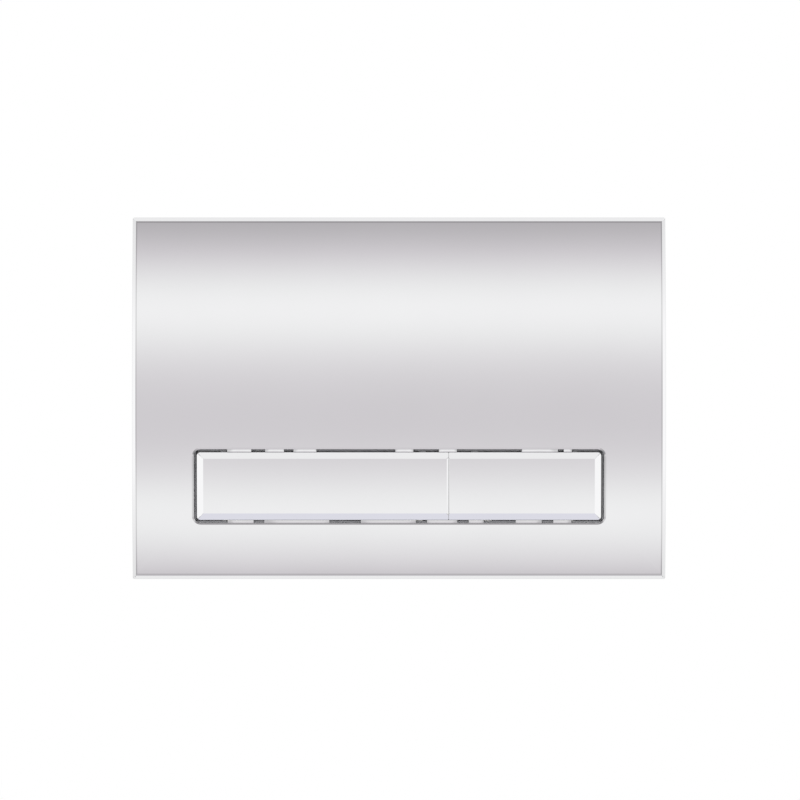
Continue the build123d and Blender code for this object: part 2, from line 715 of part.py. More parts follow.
def pocket_runs(low, high, count):
    """Ends of equal pockets along a bar, with a wall between each two."""
    pitch = (high - low + POCKET_WALL) / count
    starts = [low + index * pitch for index in range(count)]
    return [(start, start + pitch - POCKET_WALL) for start in starts]


def frame_pockets():
    """Hollows in the rear of the frame's side bars and top bar."""
    rear = (-POCKET_DEPTH, 0)
    pockets = []
    side_z = grown(FRAME_Z, -FRAME_CORNER)
    for side in (-1, 1):
        bar = sorted((side * OPENING_X[1], side * FRAME_X[1]))
        for run in pocket_runs(*side_z, SIDE_POCKETS):
            pockets.append(block(grown(bar, -POCKET_WALL), rear, run))
    bar = grown((OPENING_Z[1], FRAME_Z[1]), -POCKET_WALL)
    top_x = grown(span(CLIP_SPACING), -CLIP_SLOT_WIDTH / 2 - POCKET_WALL)
    for run in pocket_runs(*top_x, TOP_POCKETS):
        pockets.append(block(run, rear, bar))
    return pockets


def mounting_frame():
    """Frame on the wall, with eyes for the fixing studs and catches for the clips."""
    ring = rounded_frame(FRAME_X, FRAME_Z, FRAME_CORNER)
    ring -= rounded_frame(OPENING_X, OPENING_Z, FRAME_CORNER)
    frame = prism(ring, -FRAME_DEPTH, 0)
    for pocket in frame_pockets():
        frame -= pocket
    for x in STUD_X:
        frame += stud_eye(x)
    throat = POST_WALL + 2 * (CLIP_PLAY + CLIP_STRIP + CLIP_BULGE / 2)
    recess = POST_WALL + 2 * (CLIP_PLAY + 2 * CLIP_STRIP + CLIP_BULGE)
    for x, z in CLIP_PLACES:
        catch = CATCH_DEPTH - FRAME_DEPTH
        frame -= block(span(CLIP_SLOT_WIDTH, x), (-FRAME_DEPTH, 0), span(throat, z))
        frame -= block(span(CLIP_SLOT_WIDTH, x), (catch, 0), span(recess, z))
    return frame


def spring_clip(x, z):
    """Folded strip over a post of the face plate, with legs that bulge out."""
    leg = POST_WALL / 2 + CLIP_PLAY
    closed = -CLIP_END_ROOM - CLIP_STRIP
    catch = CATCH_DEPTH - FRAME_DEPTH
    half = [
        (-FRAME_DEPTH - CLIP_REACH, leg + CLIP_BULGE / 2),
        (-FRAME_DEPTH - CLIP_REACH / 2, leg),
        (catch - CLIP_STRIP, leg),
        ((catch + closed) / 2, leg + CLIP_BULGE),
        (closed, leg),
    ]
    other = [(y, -offset) for y, offset in reversed(half)]
    inner = Polyline(*half, *other)
    strip = offset(inner, CLIP_STRIP, kind=Kind.INTERSECTION, side=Side.LEFT)
    return Pos(0, 0, z) * rail(make_face(strip), span(CLIP_WIDTH, x))


def fixing_stud(x):
    """Stud with a hexagonal collar that backs the frame's eye."""
    front = EYE_FRONT - WASHER_WALL - FIXING_NUT_LENGTH - STUD_TIP
    rear = STUD_COLLAR_REAR + STUD_REAR_LENGTH
    thread = round_bar(STUD_FRONT_RADIUS, x, STUD_Z, (front, EYE_REAR))
    shank = round_bar(STUD_REAR_RADIUS, x, STUD_Z, (STUD_COLLAR_REAR, rear))
    hexagon = Pos(x, STUD_Z) * RegularPolygon(COLLAR_FLATS / 2, 6, major_radius=False)
    return thread + prism(hexagon, EYE_REAR, STUD_COLLAR_REAR) + shank


def fixing_washer(x):
    """Washer under a fixing nut."""
    y_ends = (EYE_FRONT - WASHER_WALL, EYE_FRONT)
    hole = round_bar(STUD_FRONT_RADIUS + SLOT_PLAY, x, STUD_Z, y_ends)
    return round_bar(WASHER_RADIUS, x, STUD_Z, y_ends) - hole


def fixing_nut(x):
    """Nut that clamps the frame's eye against the stud's collar."""
    rear = EYE_FRONT - WASHER_WALL
    return thumb_nut(
        x,
        STUD_Z,
        (rear - FIXING_NUT_LENGTH, rear),
        FIXING_NUT_RADIUS,
        STUD_FRONT_RADIUS + PRESS_PLAY,
    )


def all_nodes():
    """Every piece of the plate by name. A group of like fasteners is one list."""
    nodes = {
        "face_plate": face_plate(),
        "button_carrier": button_carrier(),
        "carrier_screws": carrier_screws(),
        "rest_bumpers": rest_bumpers(),
        "mounting_frame": mounting_frame(),
        "retaining_clips": [spring_clip(x, z) for x, z in CLIP_PLACES],
        "fixing_studs": [fixing_stud(x) for x in STUD_X],
        "fixing_washers": [fixing_washer(x) for x in STUD_X],
        "fixing_nuts": [fixing_nut(x) for x in STUD_X],
    }
    for button in BUTTONS:
        nodes[f"{button.name}_cap"] = button_cap(button)
        nodes[f"{button.name}_rocker"] = rocker(button)
        nodes[f"{button.name}_hinge_pin"] = hinge_pin(button)
        nodes[f"{button.name}_push_rod"] = push_rod(button)
        nodes[f"{button.name}_rod_nut"] = rod_nut(button)
        nodes[f"{button.name}_return_spring"] = return_spring(button)
    return nodes


os.makedirs("parts", exist_ok=True)
for name, shape in all_nodes().items():
    if isinstance(shape, list):
        shape = Compound(children=shape)
    export_step(shape, f"parts/{name}.step")
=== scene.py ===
import logging
import math
from dataclasses import dataclass, field
from enum import Enum
from typing import Sequence

import bmesh
import bpy
import numpy as np
from bpy.types import Material, Mesh, NodeSocket, NodeTree, Object
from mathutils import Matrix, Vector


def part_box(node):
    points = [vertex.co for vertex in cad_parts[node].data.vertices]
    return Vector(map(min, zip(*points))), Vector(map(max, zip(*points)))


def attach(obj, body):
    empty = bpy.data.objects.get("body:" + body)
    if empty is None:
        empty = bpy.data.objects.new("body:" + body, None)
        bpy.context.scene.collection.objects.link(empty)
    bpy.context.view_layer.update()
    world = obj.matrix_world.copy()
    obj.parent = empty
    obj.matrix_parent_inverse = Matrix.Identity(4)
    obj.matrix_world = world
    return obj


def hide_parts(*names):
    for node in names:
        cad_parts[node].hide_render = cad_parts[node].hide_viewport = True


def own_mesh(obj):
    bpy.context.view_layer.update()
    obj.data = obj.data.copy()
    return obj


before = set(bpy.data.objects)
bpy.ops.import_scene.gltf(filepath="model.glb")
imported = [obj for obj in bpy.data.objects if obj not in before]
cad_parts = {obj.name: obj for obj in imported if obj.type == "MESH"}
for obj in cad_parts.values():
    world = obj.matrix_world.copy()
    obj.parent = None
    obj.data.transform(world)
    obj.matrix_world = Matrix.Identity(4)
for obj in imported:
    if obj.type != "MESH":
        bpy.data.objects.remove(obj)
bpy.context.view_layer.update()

LOG = logging.getLogger("flush_plate")
MM = 0.001
# Distance within which points become one, and the least radius that a sharp corner is bent with
MERGE, LEAST = 0.001 * MM, 1e-9
# Runs along a rounding
COARSE_ARC, EDGE_ARC, FINE_ARC = 3, 4, 5
PLATE = "plate"
WHITE = (1.0, 1.0, 1.0, 1.0)
X_WAY, Y_WAY, Z_WAY = np.eye(3)
Span = tuple[float, float]
Triple = tuple[float, float, float]
Sizes = tuple[float, ...]


class Slot(Enum):
    """Material slots of the record."""

    CHROME = "chrome"
    CARRIER = "carrier_plastic"
    ROCKER = "rocker_plastic"
    FRAME = "frame_plastic"
    ROD = "rod_plastic"
    NUT = "nut_plastic"
    ZINC = "zinc_steel"
    SPRING = "spring_steel"
    RUBBER = "rubber"


class Button(Enum):
    """The two buttons, by the start of their names."""

    FULL = "full_flush"
    HALF = "half_flush"

    def named(self, thing: str) -> str:
        """Name of one of the button's nodes, bodies or joints."""
        return f"{self.value}_{thing}"


def span(length: float, middle: float = 0.0) -> Span:
    """Ends of a length about its middle."""
    return (middle - length / 2, middle + length / 2)


def grown(ends: Span, by: float) -> Span:
    """Ends moved apart by a length at each side."""
    return (ends[0] - by, ends[1] + by)


def extent(node: str, axis: str) -> Span:
    """Ends of a CAD node along an axis."""
    return tuple(getattr(corner, axis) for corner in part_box(node))


def centre(node: str, axes: str) -> Sizes:
    """Middle of a CAD node along some axes."""
    return tuple(sum(extent(node, axis)) / 2 for axis in axes)


def swell(count: int) -> np.ndarray:
    """Shares from 0 to 1 that lie close at both ends: half of 1 − cos."""
    return (1 - np.cos(np.linspace(0, math.pi, count))) / 2


def midway() -> np.ndarray:
    """One share, in the middle of a side."""
    return np.array([0.5])


def angles(count: int) -> np.ndarray:
    """Even angles round a full turn."""
    return np.arange(count) * (2 * math.pi / count)


def linear(colour: str) -> tuple[float, float, float, float]:
    """Turns an sRGB hex colour into linear values.

    Args:
        colour: Six hex digits after a hash sign.

    Returns:
        Red, green, blue and a full alpha.
    """
    coded = np.array([int(colour[i : i + 2], 16) for i in (1, 3, 5)]) / 255
    light = np.where(coded <= 0.04045, coded / 12.92, ((coded + 0.055) / 1.055) ** 2.4)
    return (*map(float, light), 1.0)


def add(
    tree: NodeTree, kind: str, inputs: dict | None = None, **settings: object
) -> bpy.types.bpy_prop_collection:
    """Adds a shader node, with its options and with values or links in its inputs.

    Args:
        tree: Node tree that the node goes into.
        kind: Type name of the node, after the words that all shader nodes share.
        inputs: Values or output sockets by input name or number.
        **settings: Options of the node.

    Returns:
        The node's outputs.
    """
    made = tree.nodes.new(f"ShaderNode{kind}")
    for name, value in settings.items():
        setattr(made, name, value)
    for name, value in (inputs or {}).items():
        if isinstance(value, NodeSocket):
            tree.links.new(value, made.inputs[name])
        else:
            made.inputs[name].default_value = value
    return made.outputs


@dataclass(frozen=True)
class Finish:
    """Surface of one material. Its tone and gloss drift slowly, and its grain has a size and a depth."""

    slot: Slot
    colours: tuple[str, str]
    roughness: Span
    drift_size: float
    metallic: float = 0.0
    grain: Span | None = None
    subsurface: float = 0.0
    subsurface_reach: Triple = (2.0 * MM, 2.0 * MM, 1.6 * MM)
    drift_range: Span = (0.3, 0.7)

    def material(self) -> Material:
        """Builds the material once and hands out the same one after that.

        Returns:
            The material.
        """
        name = f"{self.slot.value}_finish"
        known = bpy.data.materials.get(name)
        if known is not None:
            return known
        made = bpy.data.materials.new(name)
        made.use_nodes = True
        tree = made.node_tree
        tree.nodes.clear()
        spot = add(tree, "TexCoord")["Object"]
        noise = add(tree, "TexNoise", {"Vector": spot, "Scale": 1 / self.drift_size, "Detail": 4.0})["Fac"]
        ends = {"Value": noise, "From Min": self.drift_range[0], "From Max": self.drift_range[1]}
        drift = add(tree, "MapRange", ends)[0]
        first, second = map(linear, self.colours)
        ends = {"Value": drift, "To Min": self.roughness[0], "To Max": self.roughness[1]}
        looks = {
            "Base Color": add(tree, "Mix", {0: drift, 6: first, 7: second}, data_type="RGBA")[2],
            "Roughness": add(tree, "MapRange", ends)[0],
            "Metallic": self.metallic,
            "Subsurface Weight": self.subsurface,
            "Subsurface Radius": self.subsurface_reach,
        }
        if self.grain is not None:
            size, depth = self.grain
            height = add(tree, "TexNoise", {"Vector": spot, "Scale": 1 / size, "Detail": 2.0})["Fac"]
            looks["Normal"] = add(tree, "Bump", {"Height": height, "Strength": 1.0, "Distance": depth})[0]
        add(tree, "OutputMaterial", {"Surface": add(tree, "BsdfPrincipled", looks)[0]})
        return made


# Bright chrome over moulded and polished ABS: a clear mirror with the least haze
CHROME = Finish(Slot.CHROME, ("#ECECED", "#EAEAEB"), (0.02, 0.04), 60 * MM, metallic=1.0)
# Mid grey ABS from a spark-eroded mould: a satin surface with a fine, even grain
CARRIER = Finish(
    Slot.CARRIER, ("#8D8D8F", "#858588"), (0.42, 0.55), 18 * MM, grain=(0.35 * MM, 0.012 * MM)
)
# White acetal from a polished mould: waxy, a little translucent and smooth
ROCKER = Finish(
    Slot.ROCKER, ("#F0EFEB", "#EAE9E4"), (0.24, 0.34), 22 * MM, grain=(1.2 * MM, 0.004 * MM), subsurface=0.15
)
# White ABS with the light grain of a structural moulding
FRAME = Finish(Slot.FRAME, ("#E9E8E4", "#E2E1DC"), (0.36, 0.5), 30 * MM, grain=(0.4 * MM, 0.012 * MM))
# Light grey acetal, smooth from the mould and a little translucent
ROD = Finish(
    Slot.ROD, ("#DADCDE", "#D2D5D8"), (0.25, 0.36), 14 * MM, grain=(0.8 * MM, 0.004 * MM), subsurface=0.1
)
# Mid grey acetal, smooth from the mould
NUT = Finish(Slot.NUT, ("#ACAEB1", "#A3A6AA"), (0.28, 0.4), 9 * MM, grain=(0.7 * MM, 0.005 * MM))
# Steel with blue-passivated zinc: a cool, slightly mottled metal
ZINC = Finish(
    Slot.ZINC, ("#CBCDCE", "#BDBFBA"), (0.2, 0.36), 2.5 * MM, metallic=1.0, grain=(0.25 * MM, 0.004 * MM)
)
# Cold-drawn spring steel: a darker metal with the fine unevenness of the drawing
SPRING = Finish(
    Slot.SPRING, ("#BFBFC3", "#ACACB2"), (0.22, 0.34), 2 * MM, metallic=1.0, grain=(0.2 * MM, 0.003 * MM)
)
# Moulded nitrile rubber: near black and matt
RUBBER = Finish(Slot.RUBBER, ("#3C3C3C", "#343434"), (0.7, 0.85), 4 * MM, grain=(0.3 * MM, 0.02 * MM))


@dataclass(frozen=True)
class Sheet:
    """Grid of points in space, which may close along either of its two ways."""

    points: np.ndarray
    wrap_rows: bool = False
    wrap_columns: bool = True

    def quads(self, first: int) -> np.ndarray:
        """Corner numbers of every cell: each point with the next one beside it and below it.

        Args:
            first: Number of the grid's first point in the mesh.

        Returns:
            Four numbers for each cell.
        """
        rows, columns = self.points.shape[:2]
        across = np.arange(columns if self.wrap_columns else columns - 1)
        down = np.arange(rows if self.wrap_rows else rows - 1)
        row, column = np.meshgrid(down, across, indexing="ij")
        below, beside = (row + 1) % rows, (column + 1) % columns
        corners = [(row, column), (row, beside), (below, beside), (below, column)]
        return first + np.stack([a * columns + b for a, b in corners], axis=-1).reshape(-1, 4)


def tidy(mesh: Mesh, sharp: float, flat: float | None = None) -> None:
    """Merges doubles, turns the faces outwards and shades all but the sharp edges smooth.

    Args:
        mesh: Mesh to finish.
        sharp: Angle in degrees from which an edge stays sharp.
        flat: Angle in degrees below which neighbouring faces join to one, or None.
    """
    work = bmesh.new()
    work.from_mesh(mesh)
    bmesh.ops.remove_doubles(work, verts=work.verts, dist=MERGE)
    if flat is not None:
        bmesh.ops.dissolve_limit(work, angle_limit=math.radians(flat), verts=work.verts, edges=work.edges)
    bmesh.ops.recalc_face_normals(work, faces=work.faces)
    work.to_mesh(mesh)
    work.free()
    mesh.shade_smooth()
    mesh.set_sharp_from_angle(angle=math.radians(sharp))


def place(mesh: Mesh, node: str, finish: Finish, body: str) -> Object:
    """Makes a mesh a piece that rides on a body and stands for a CAD node.

    Args:
        mesh: Finished mesh in the shared frame.
        node: CAD node that it replaces.
        finish: Its surface.
        body: Body that it moves with.

    Returns:
        The piece.
    """
    mesh.materials.clear()
    mesh.materials.append(finish.material())
    piece = bpy.data.objects.new(mesh.name, mesh)
    bpy.context.scene.collection.objects.link(piece)
    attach(piece, body)
    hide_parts(node)
    LOG.info("%s: %d faces on %s", piece.name, len(mesh.polygons), body)
    return piece


def build(
    node: str, form: str, sheets: Sequence[Sheet], finish: Finish, body: str = PLATE, sharp: float = 35.0
) -> Object:
    """Joins grids to one mesh, which is named for its node and its form, and places it.

    Args:
        node: CAD node that the piece replaces.
        form: Word for how the piece was made.
        sheets: Grids that make it up.
        finish: Its surface.
        body: Body that it moves with.
        sharp: Angle in degrees from which an edge stays sharp.

    Returns:
        The piece.
    """
    points = np.concatenate([sheet.points.reshape(-1, 3) for sheet in sheets])
    firsts = np.cumsum([0] + [sheet.points.size // 3 for sheet in sheets[:-1]])
    quads = np.concatenate([sheet.quads(first) for sheet, first in zip(sheets, firsts)])
    mesh = bpy.data.meshes.new(f"{node}_{form}")
    mesh.from_pydata(points.tolist(), [], quads.tolist())
    tidy(mesh, sharp)
    return place(mesh, node, finish, body)


def fillet_path(
    corners: Sequence[Span], radii: Sequence[float], steps: int = FINE_ARC, closed: bool = False
) -> np.ndarray:
    """Rounds the corners of a line: each becomes an arc that touches both of its runs.

    The arc's centre lies on the corner's bisector, radius / sin(half the corner's angle) away.

    Args:
        corners: Corners in the plane, in order.
        radii: Radius at each corner, 0 to keep it sharp.
        steps: Runs along each arc.
        closed: Whether the last corner joins the first.

    Returns:
        Points along the rounded line.
    """
    line = np.asarray(corners, float)
    pieces = []
    for i, radius in enumerate(radii):
        here = line[i]
        if radius <= 0 or (not closed and i in (0, len(line) - 1)):
            pieces.append(here[None])
            continue
        back, on = line[i - 1] - here, line[(i + 1) % len(line)] - here
        back, on = back / np.linalg.norm(back), on / np.linalg.norm(on)
        half = math.acos(np.clip(back @ on, -1, 1)) / 2
        middle = here + (back + on) / np.linalg.norm(back + on) * radius / math.sin(half)
        ends = [here + way * radius / math.tan(half) - middle for way in (back, on)]
        first, last = (math.atan2(end[1], end[0]) for end in ends)
        turn = (last - first + math.pi) % (2 * math.pi) - math.pi
        angle = first + turn * np.linspace(0, 1, steps + 1)
        pieces.append(middle + radius * np.stack([np.cos(angle), np.sin(angle)], axis=-1))
    return np.concatenate(pieces)


def ring(y: Span, radii: Span, rounds: Sequence[float], steps: int) -> np.ndarray:
    """Rounded section of a ring as depth and radius, from its bore over its rim and back."""
    corners = [(y[0], radii[0]), (y[0], radii[1]), (y[1], radii[1]), (y[1], radii[0])]
    return fillet_path(corners, rounds, steps, closed=True)


@dataclass(frozen=True)
class Outline:
    """Rounded rectangle in X and Z. Its loop starts in the lower right corner and runs up the right side."""

    x: Span
    z: Span
    right_radius: float
    left_radius: float
    across: np.ndarray = field(default_factory=midway)
    right_side: np.ndarray = field(default_factory=midway)
    left_side: np.ndarray = field(default_factory=midway)
    steps: int = 6

    def loop(self, out: float = 0.0, beside: float | None = None) -> np.ndarray:
        """Points of the outline moved outwards: an arc for each corner and shares of each side.

        Args:
            out: Distance outwards.
            beside: Distance outwards of the left and right side, where it differs.

        Returns:
            X and Z of each point.
        """
        right, left = (max(radius + out, 0.0) for radius in (self.right_radius, self.left_radius))
        x, z = grown(self.x, out if beside is None else beside), grown(self.z, out)
        radii = np.array([right, right, left, left])
        corners = np.array([(x[1], z[0]), (x[1], z[1]), (x[0], z[1]), (x[0], z[0])])
        middles = corners + radii[:, None] * np.array([(-1, 1), (-1, -1), (1, -1), (1, 1)])
        quarters = np.arange(-1, 3)[:, None] + np.linspace(0, 1, self.steps + 1)[None]
        angle = quarters * math.pi / 2
        arcs = middles[:, None] + radii[:, None, None] * np.stack([np.cos(angle), np.sin(angle)], axis=-1)
        shares = [self.right_side, 1 - self.across[::-1], 1 - self.left_side[::-1], self.across]
        pieces = []
        for i, share in enumerate(shares):
            start, end = arcs[i, -1], arcs[(i + 1) % 4, 0]
            pieces += [arcs[i], start + share[:, None] * (end - start)]
        return np.concatenate(pieces)

    def patch(self, out: float = 0.0) -> np.ndarray:
        """Grid that fills the outline, whose edge is the loop.

        Its lines run straight. In a corner, a point at (a, b) from the arc's middle moves to
        (a × sqrt(1 − b² / 2r²), b × sqrt(1 − a² / 2r²)), which bends the square to the quarter circle.

        Args:
            out: Distance outwards.

        Returns:
            X and Z of each point, rows upwards and columns to the right.
        """
        right, left = (max(radius + out, 0.0) for radius in (self.right_radius, self.left_radius))
        x, z = grown(self.x, out), grown(self.z, out)
        near = 1 - math.sqrt(2) * np.sin(np.linspace(math.pi / 4, 0, self.steps // 2 + 1))
        run, room = (x[0] + left, x[1] - right), z[1] - z[0]
        columns = [x[0] + left * near, run[0] + self.across * (run[1] - run[0]), x[1] - right * near[::-1]]
        columns = np.concatenate(columns)
        heights = []
        for radius, side in ((left, self.left_side), (right, self.right_side)):
            rising = radius + side * (room - 2 * radius)
            heights.append(z[0] + np.concatenate([radius * near, rising, room - radius * near[::-1]]))
        share = np.clip((columns - run[0]) / (run[1] - run[0]), 0, 1)[None]
        radius = np.where(share < 0.5, left, right) + LEAST
        level = (1 - share) * heights[0][:, None] + share * heights[1][:, None]
        beside = np.maximum(run[0] - columns, 0)[None], np.maximum(columns - run[1], 0)[None]
        beyond = np.maximum(z[0] + radius - level, 0), np.maximum(level - z[1] + radius, 0)
        bent_x = columns[None] + (beside[0] - beside[1]) * (1 - np.sqrt(1 - (sum(beyond) / radius) ** 2 / 2))
        bent_z = level + (beyond[0] - beyond[1]) * (1 - np.sqrt(1 - (sum(beside) / radius) ** 2 / 2))
        return np.stack([bent_x, bent_z], axis=-1)


def raised(flat: np.ndarray, y: np.ndarray | float) -> np.ndarray:
    """Puts X and Z points at a depth."""
    return np.stack([flat[..., 0], np.broadcast_to(y, flat.shape[:-1]), flat[..., 1]], axis=-1)


def block(x: Span, z: Span, y: Span, rounds: Span) -> Sheet:
    """Block with rounded edges: its outline carried along a quarter arc, a straight run and another arc.

    Args:
        x: Left and right end.
        z: Lower and upper end.
        y: Front and rear.
        rounds: Radius of the outline's corners and of the front and rear edges.

    Returns:
        Closed grid.
    """
    outline, edge = Outline(x, z, rounds[0], rounds[0]), rounds[1]
    angle = np.linspace(0, math.pi / 2, EDGE_ARC + 1)
    inset, sunk = edge * (np.sin(angle) - 1), edge * (1 - np.cos(angle))
    middle = np.broadcast_to([sum(x) / 2, sum(z) / 2], outline.loop().shape)
    front = [raised(outline.loop(out), y[0] + deep) for out, deep in zip(inset, sunk)]
    rear = [raised(outline.loop(out), y[1] - deep) for out, deep in zip(inset[::-1], sunk[::-1])]
    return Sheet(np.stack([raised(middle, y[0]), *front, *rear, raised(middle, y[1])]))


def turned(spot: Span, y: np.ndarray, radius: np.ndarray, closed: bool = False) -> Sheet:
    """Surface round an axis along Y: radius by depth and by angle.

    Args:
        spot: X and Z of the axis.
        y: Depth of each row, or of each point.
        radius: Radius of each point, rows by angles.
        closed: Whether the last row joins the first.

    Returns:
        Grid that closes round the axis.
    """
    angle = angles(radius.shape[1])
    depth = np.broadcast_to(y[:, None] if y.ndim == 1 else y, radius.shape)
    points = np.stack([spot[0] + radius * np.cos(angle), depth, spot[1] + radius * np.sin(angle)], axis=-1)
    return Sheet(points, wrap_rows=closed)


def lathe(spot: Span, profile: np.ndarray, count: int, closed: bool = False) -> Sheet:
    """Turned surface whose profile is depth and radius, the same at every angle."""
    return turned(spot, profile[:, 0], np.repeat(profile[:, 1:], count, axis=1), closed)


def sweep(path: np.ndarray, across: np.ndarray, up: np.ndarray, section: np.ndarray) -> Sheet:
    """Section carried along a path: path + its first size × across + its second × up, closed at both ends.

    Args:
        path: Points along the path.
        across: First way of the section, one for all points or one for each.
        up: Second way of the section, one for all points or one for each.
        section: Closed section in two sizes.

    Returns:
        Closed grid.
    """
    wide, high = (np.broadcast_to(way, path.shape)[:, None] for way in (across, up))
    rows = path[:, None] + section[None, :, :1] * wide + section[None, :, 1:] * high
    ends = [np.broadcast_to(path[i], rows[:1].shape) for i in (0, -1)]
    return Sheet(np.concatenate([ends[0], rows, ends[1]]))


def bar_section(width: float, height: float, edge: float) -> np.ndarray:
    """Rounded rectangle as the section of a bar."""
    return Outline(span(width), span(height), edge, edge, steps=EDGE_ARC).loop()


@dataclass(frozen=True)
class Thread:
    """Screw thread on a turned piece. Its wave is clipped, which gives the thread flat crests and roots."""

    y: Span
    pitch: float
    depth: float
    per_turn: int = 8
    wave: Span = (0.5, 0.75)

    def bar(self, radius: float) -> np.ndarray:
        """Depth and radius of the rows along the bar before the thread is cut."""
        rows = np.linspace(*self.y, int((self.y[1] - self.y[0]) / self.pitch * self.per_turn))
        return np.stack([rows, np.full_like(rows, radius)], axis=-1)

    def cut(self, y: np.ndarray, count: int) -> np.ndarray:
        """Depth cut into the bar: a wave whose phase is y / pitch less the angle's share of a turn.

        It fades in and out over one pitch at the thread's ends.

        Args:
            y: Depths of the rows.
            count: Angles round the bar.

        Returns:
            Depth of cut, rows by angles.
        """
        phase = 2 * math.pi * y[:, None] / self.pitch - angles(count)
        wave = np.clip(self.wave[0] - self.wave[1] * np.cos(phase), 0, 1)
        fade = np.clip(np.minimum(y - self.y[0], self.y[1] - y) / self.pitch, 0, 1)
        return self.depth * wave * fade[:, None]


@dataclass(frozen=True)
class BowedFace:
    """The cylinder along X that the plate's face and the caps' faces belong to.

    Its radius is ((half the height)² + bow²) / (2 × bow), and its axis lies that far behind the crown.
    """

    crown: float
    height: float
    bow: float = 6.0 * MM

    def depth(self, z: np.ndarray | float, under: np.ndarray | float = 0.0) -> np.ndarray:
        """Y of the face at a height, or of a surface under it: axis − sqrt((radius − under)² − z²).

        Args:
            z: Heights.
            under: Distance under the face.

        Returns:
            Depths.
        """
        radius = ((self.height / 2) ** 2 + self.bow**2) / (2 * self.bow)
        return self.crown + radius - np.sqrt((radius - under) ** 2 - np.asarray(z) ** 2)


def plate_face() -> BowedFace:
    """Bowed face over the CAD plate."""
    bottom, top = extent("face_plate", "z")
    return BowedFace(extent("face_plate", "y")[0], top - bottom)


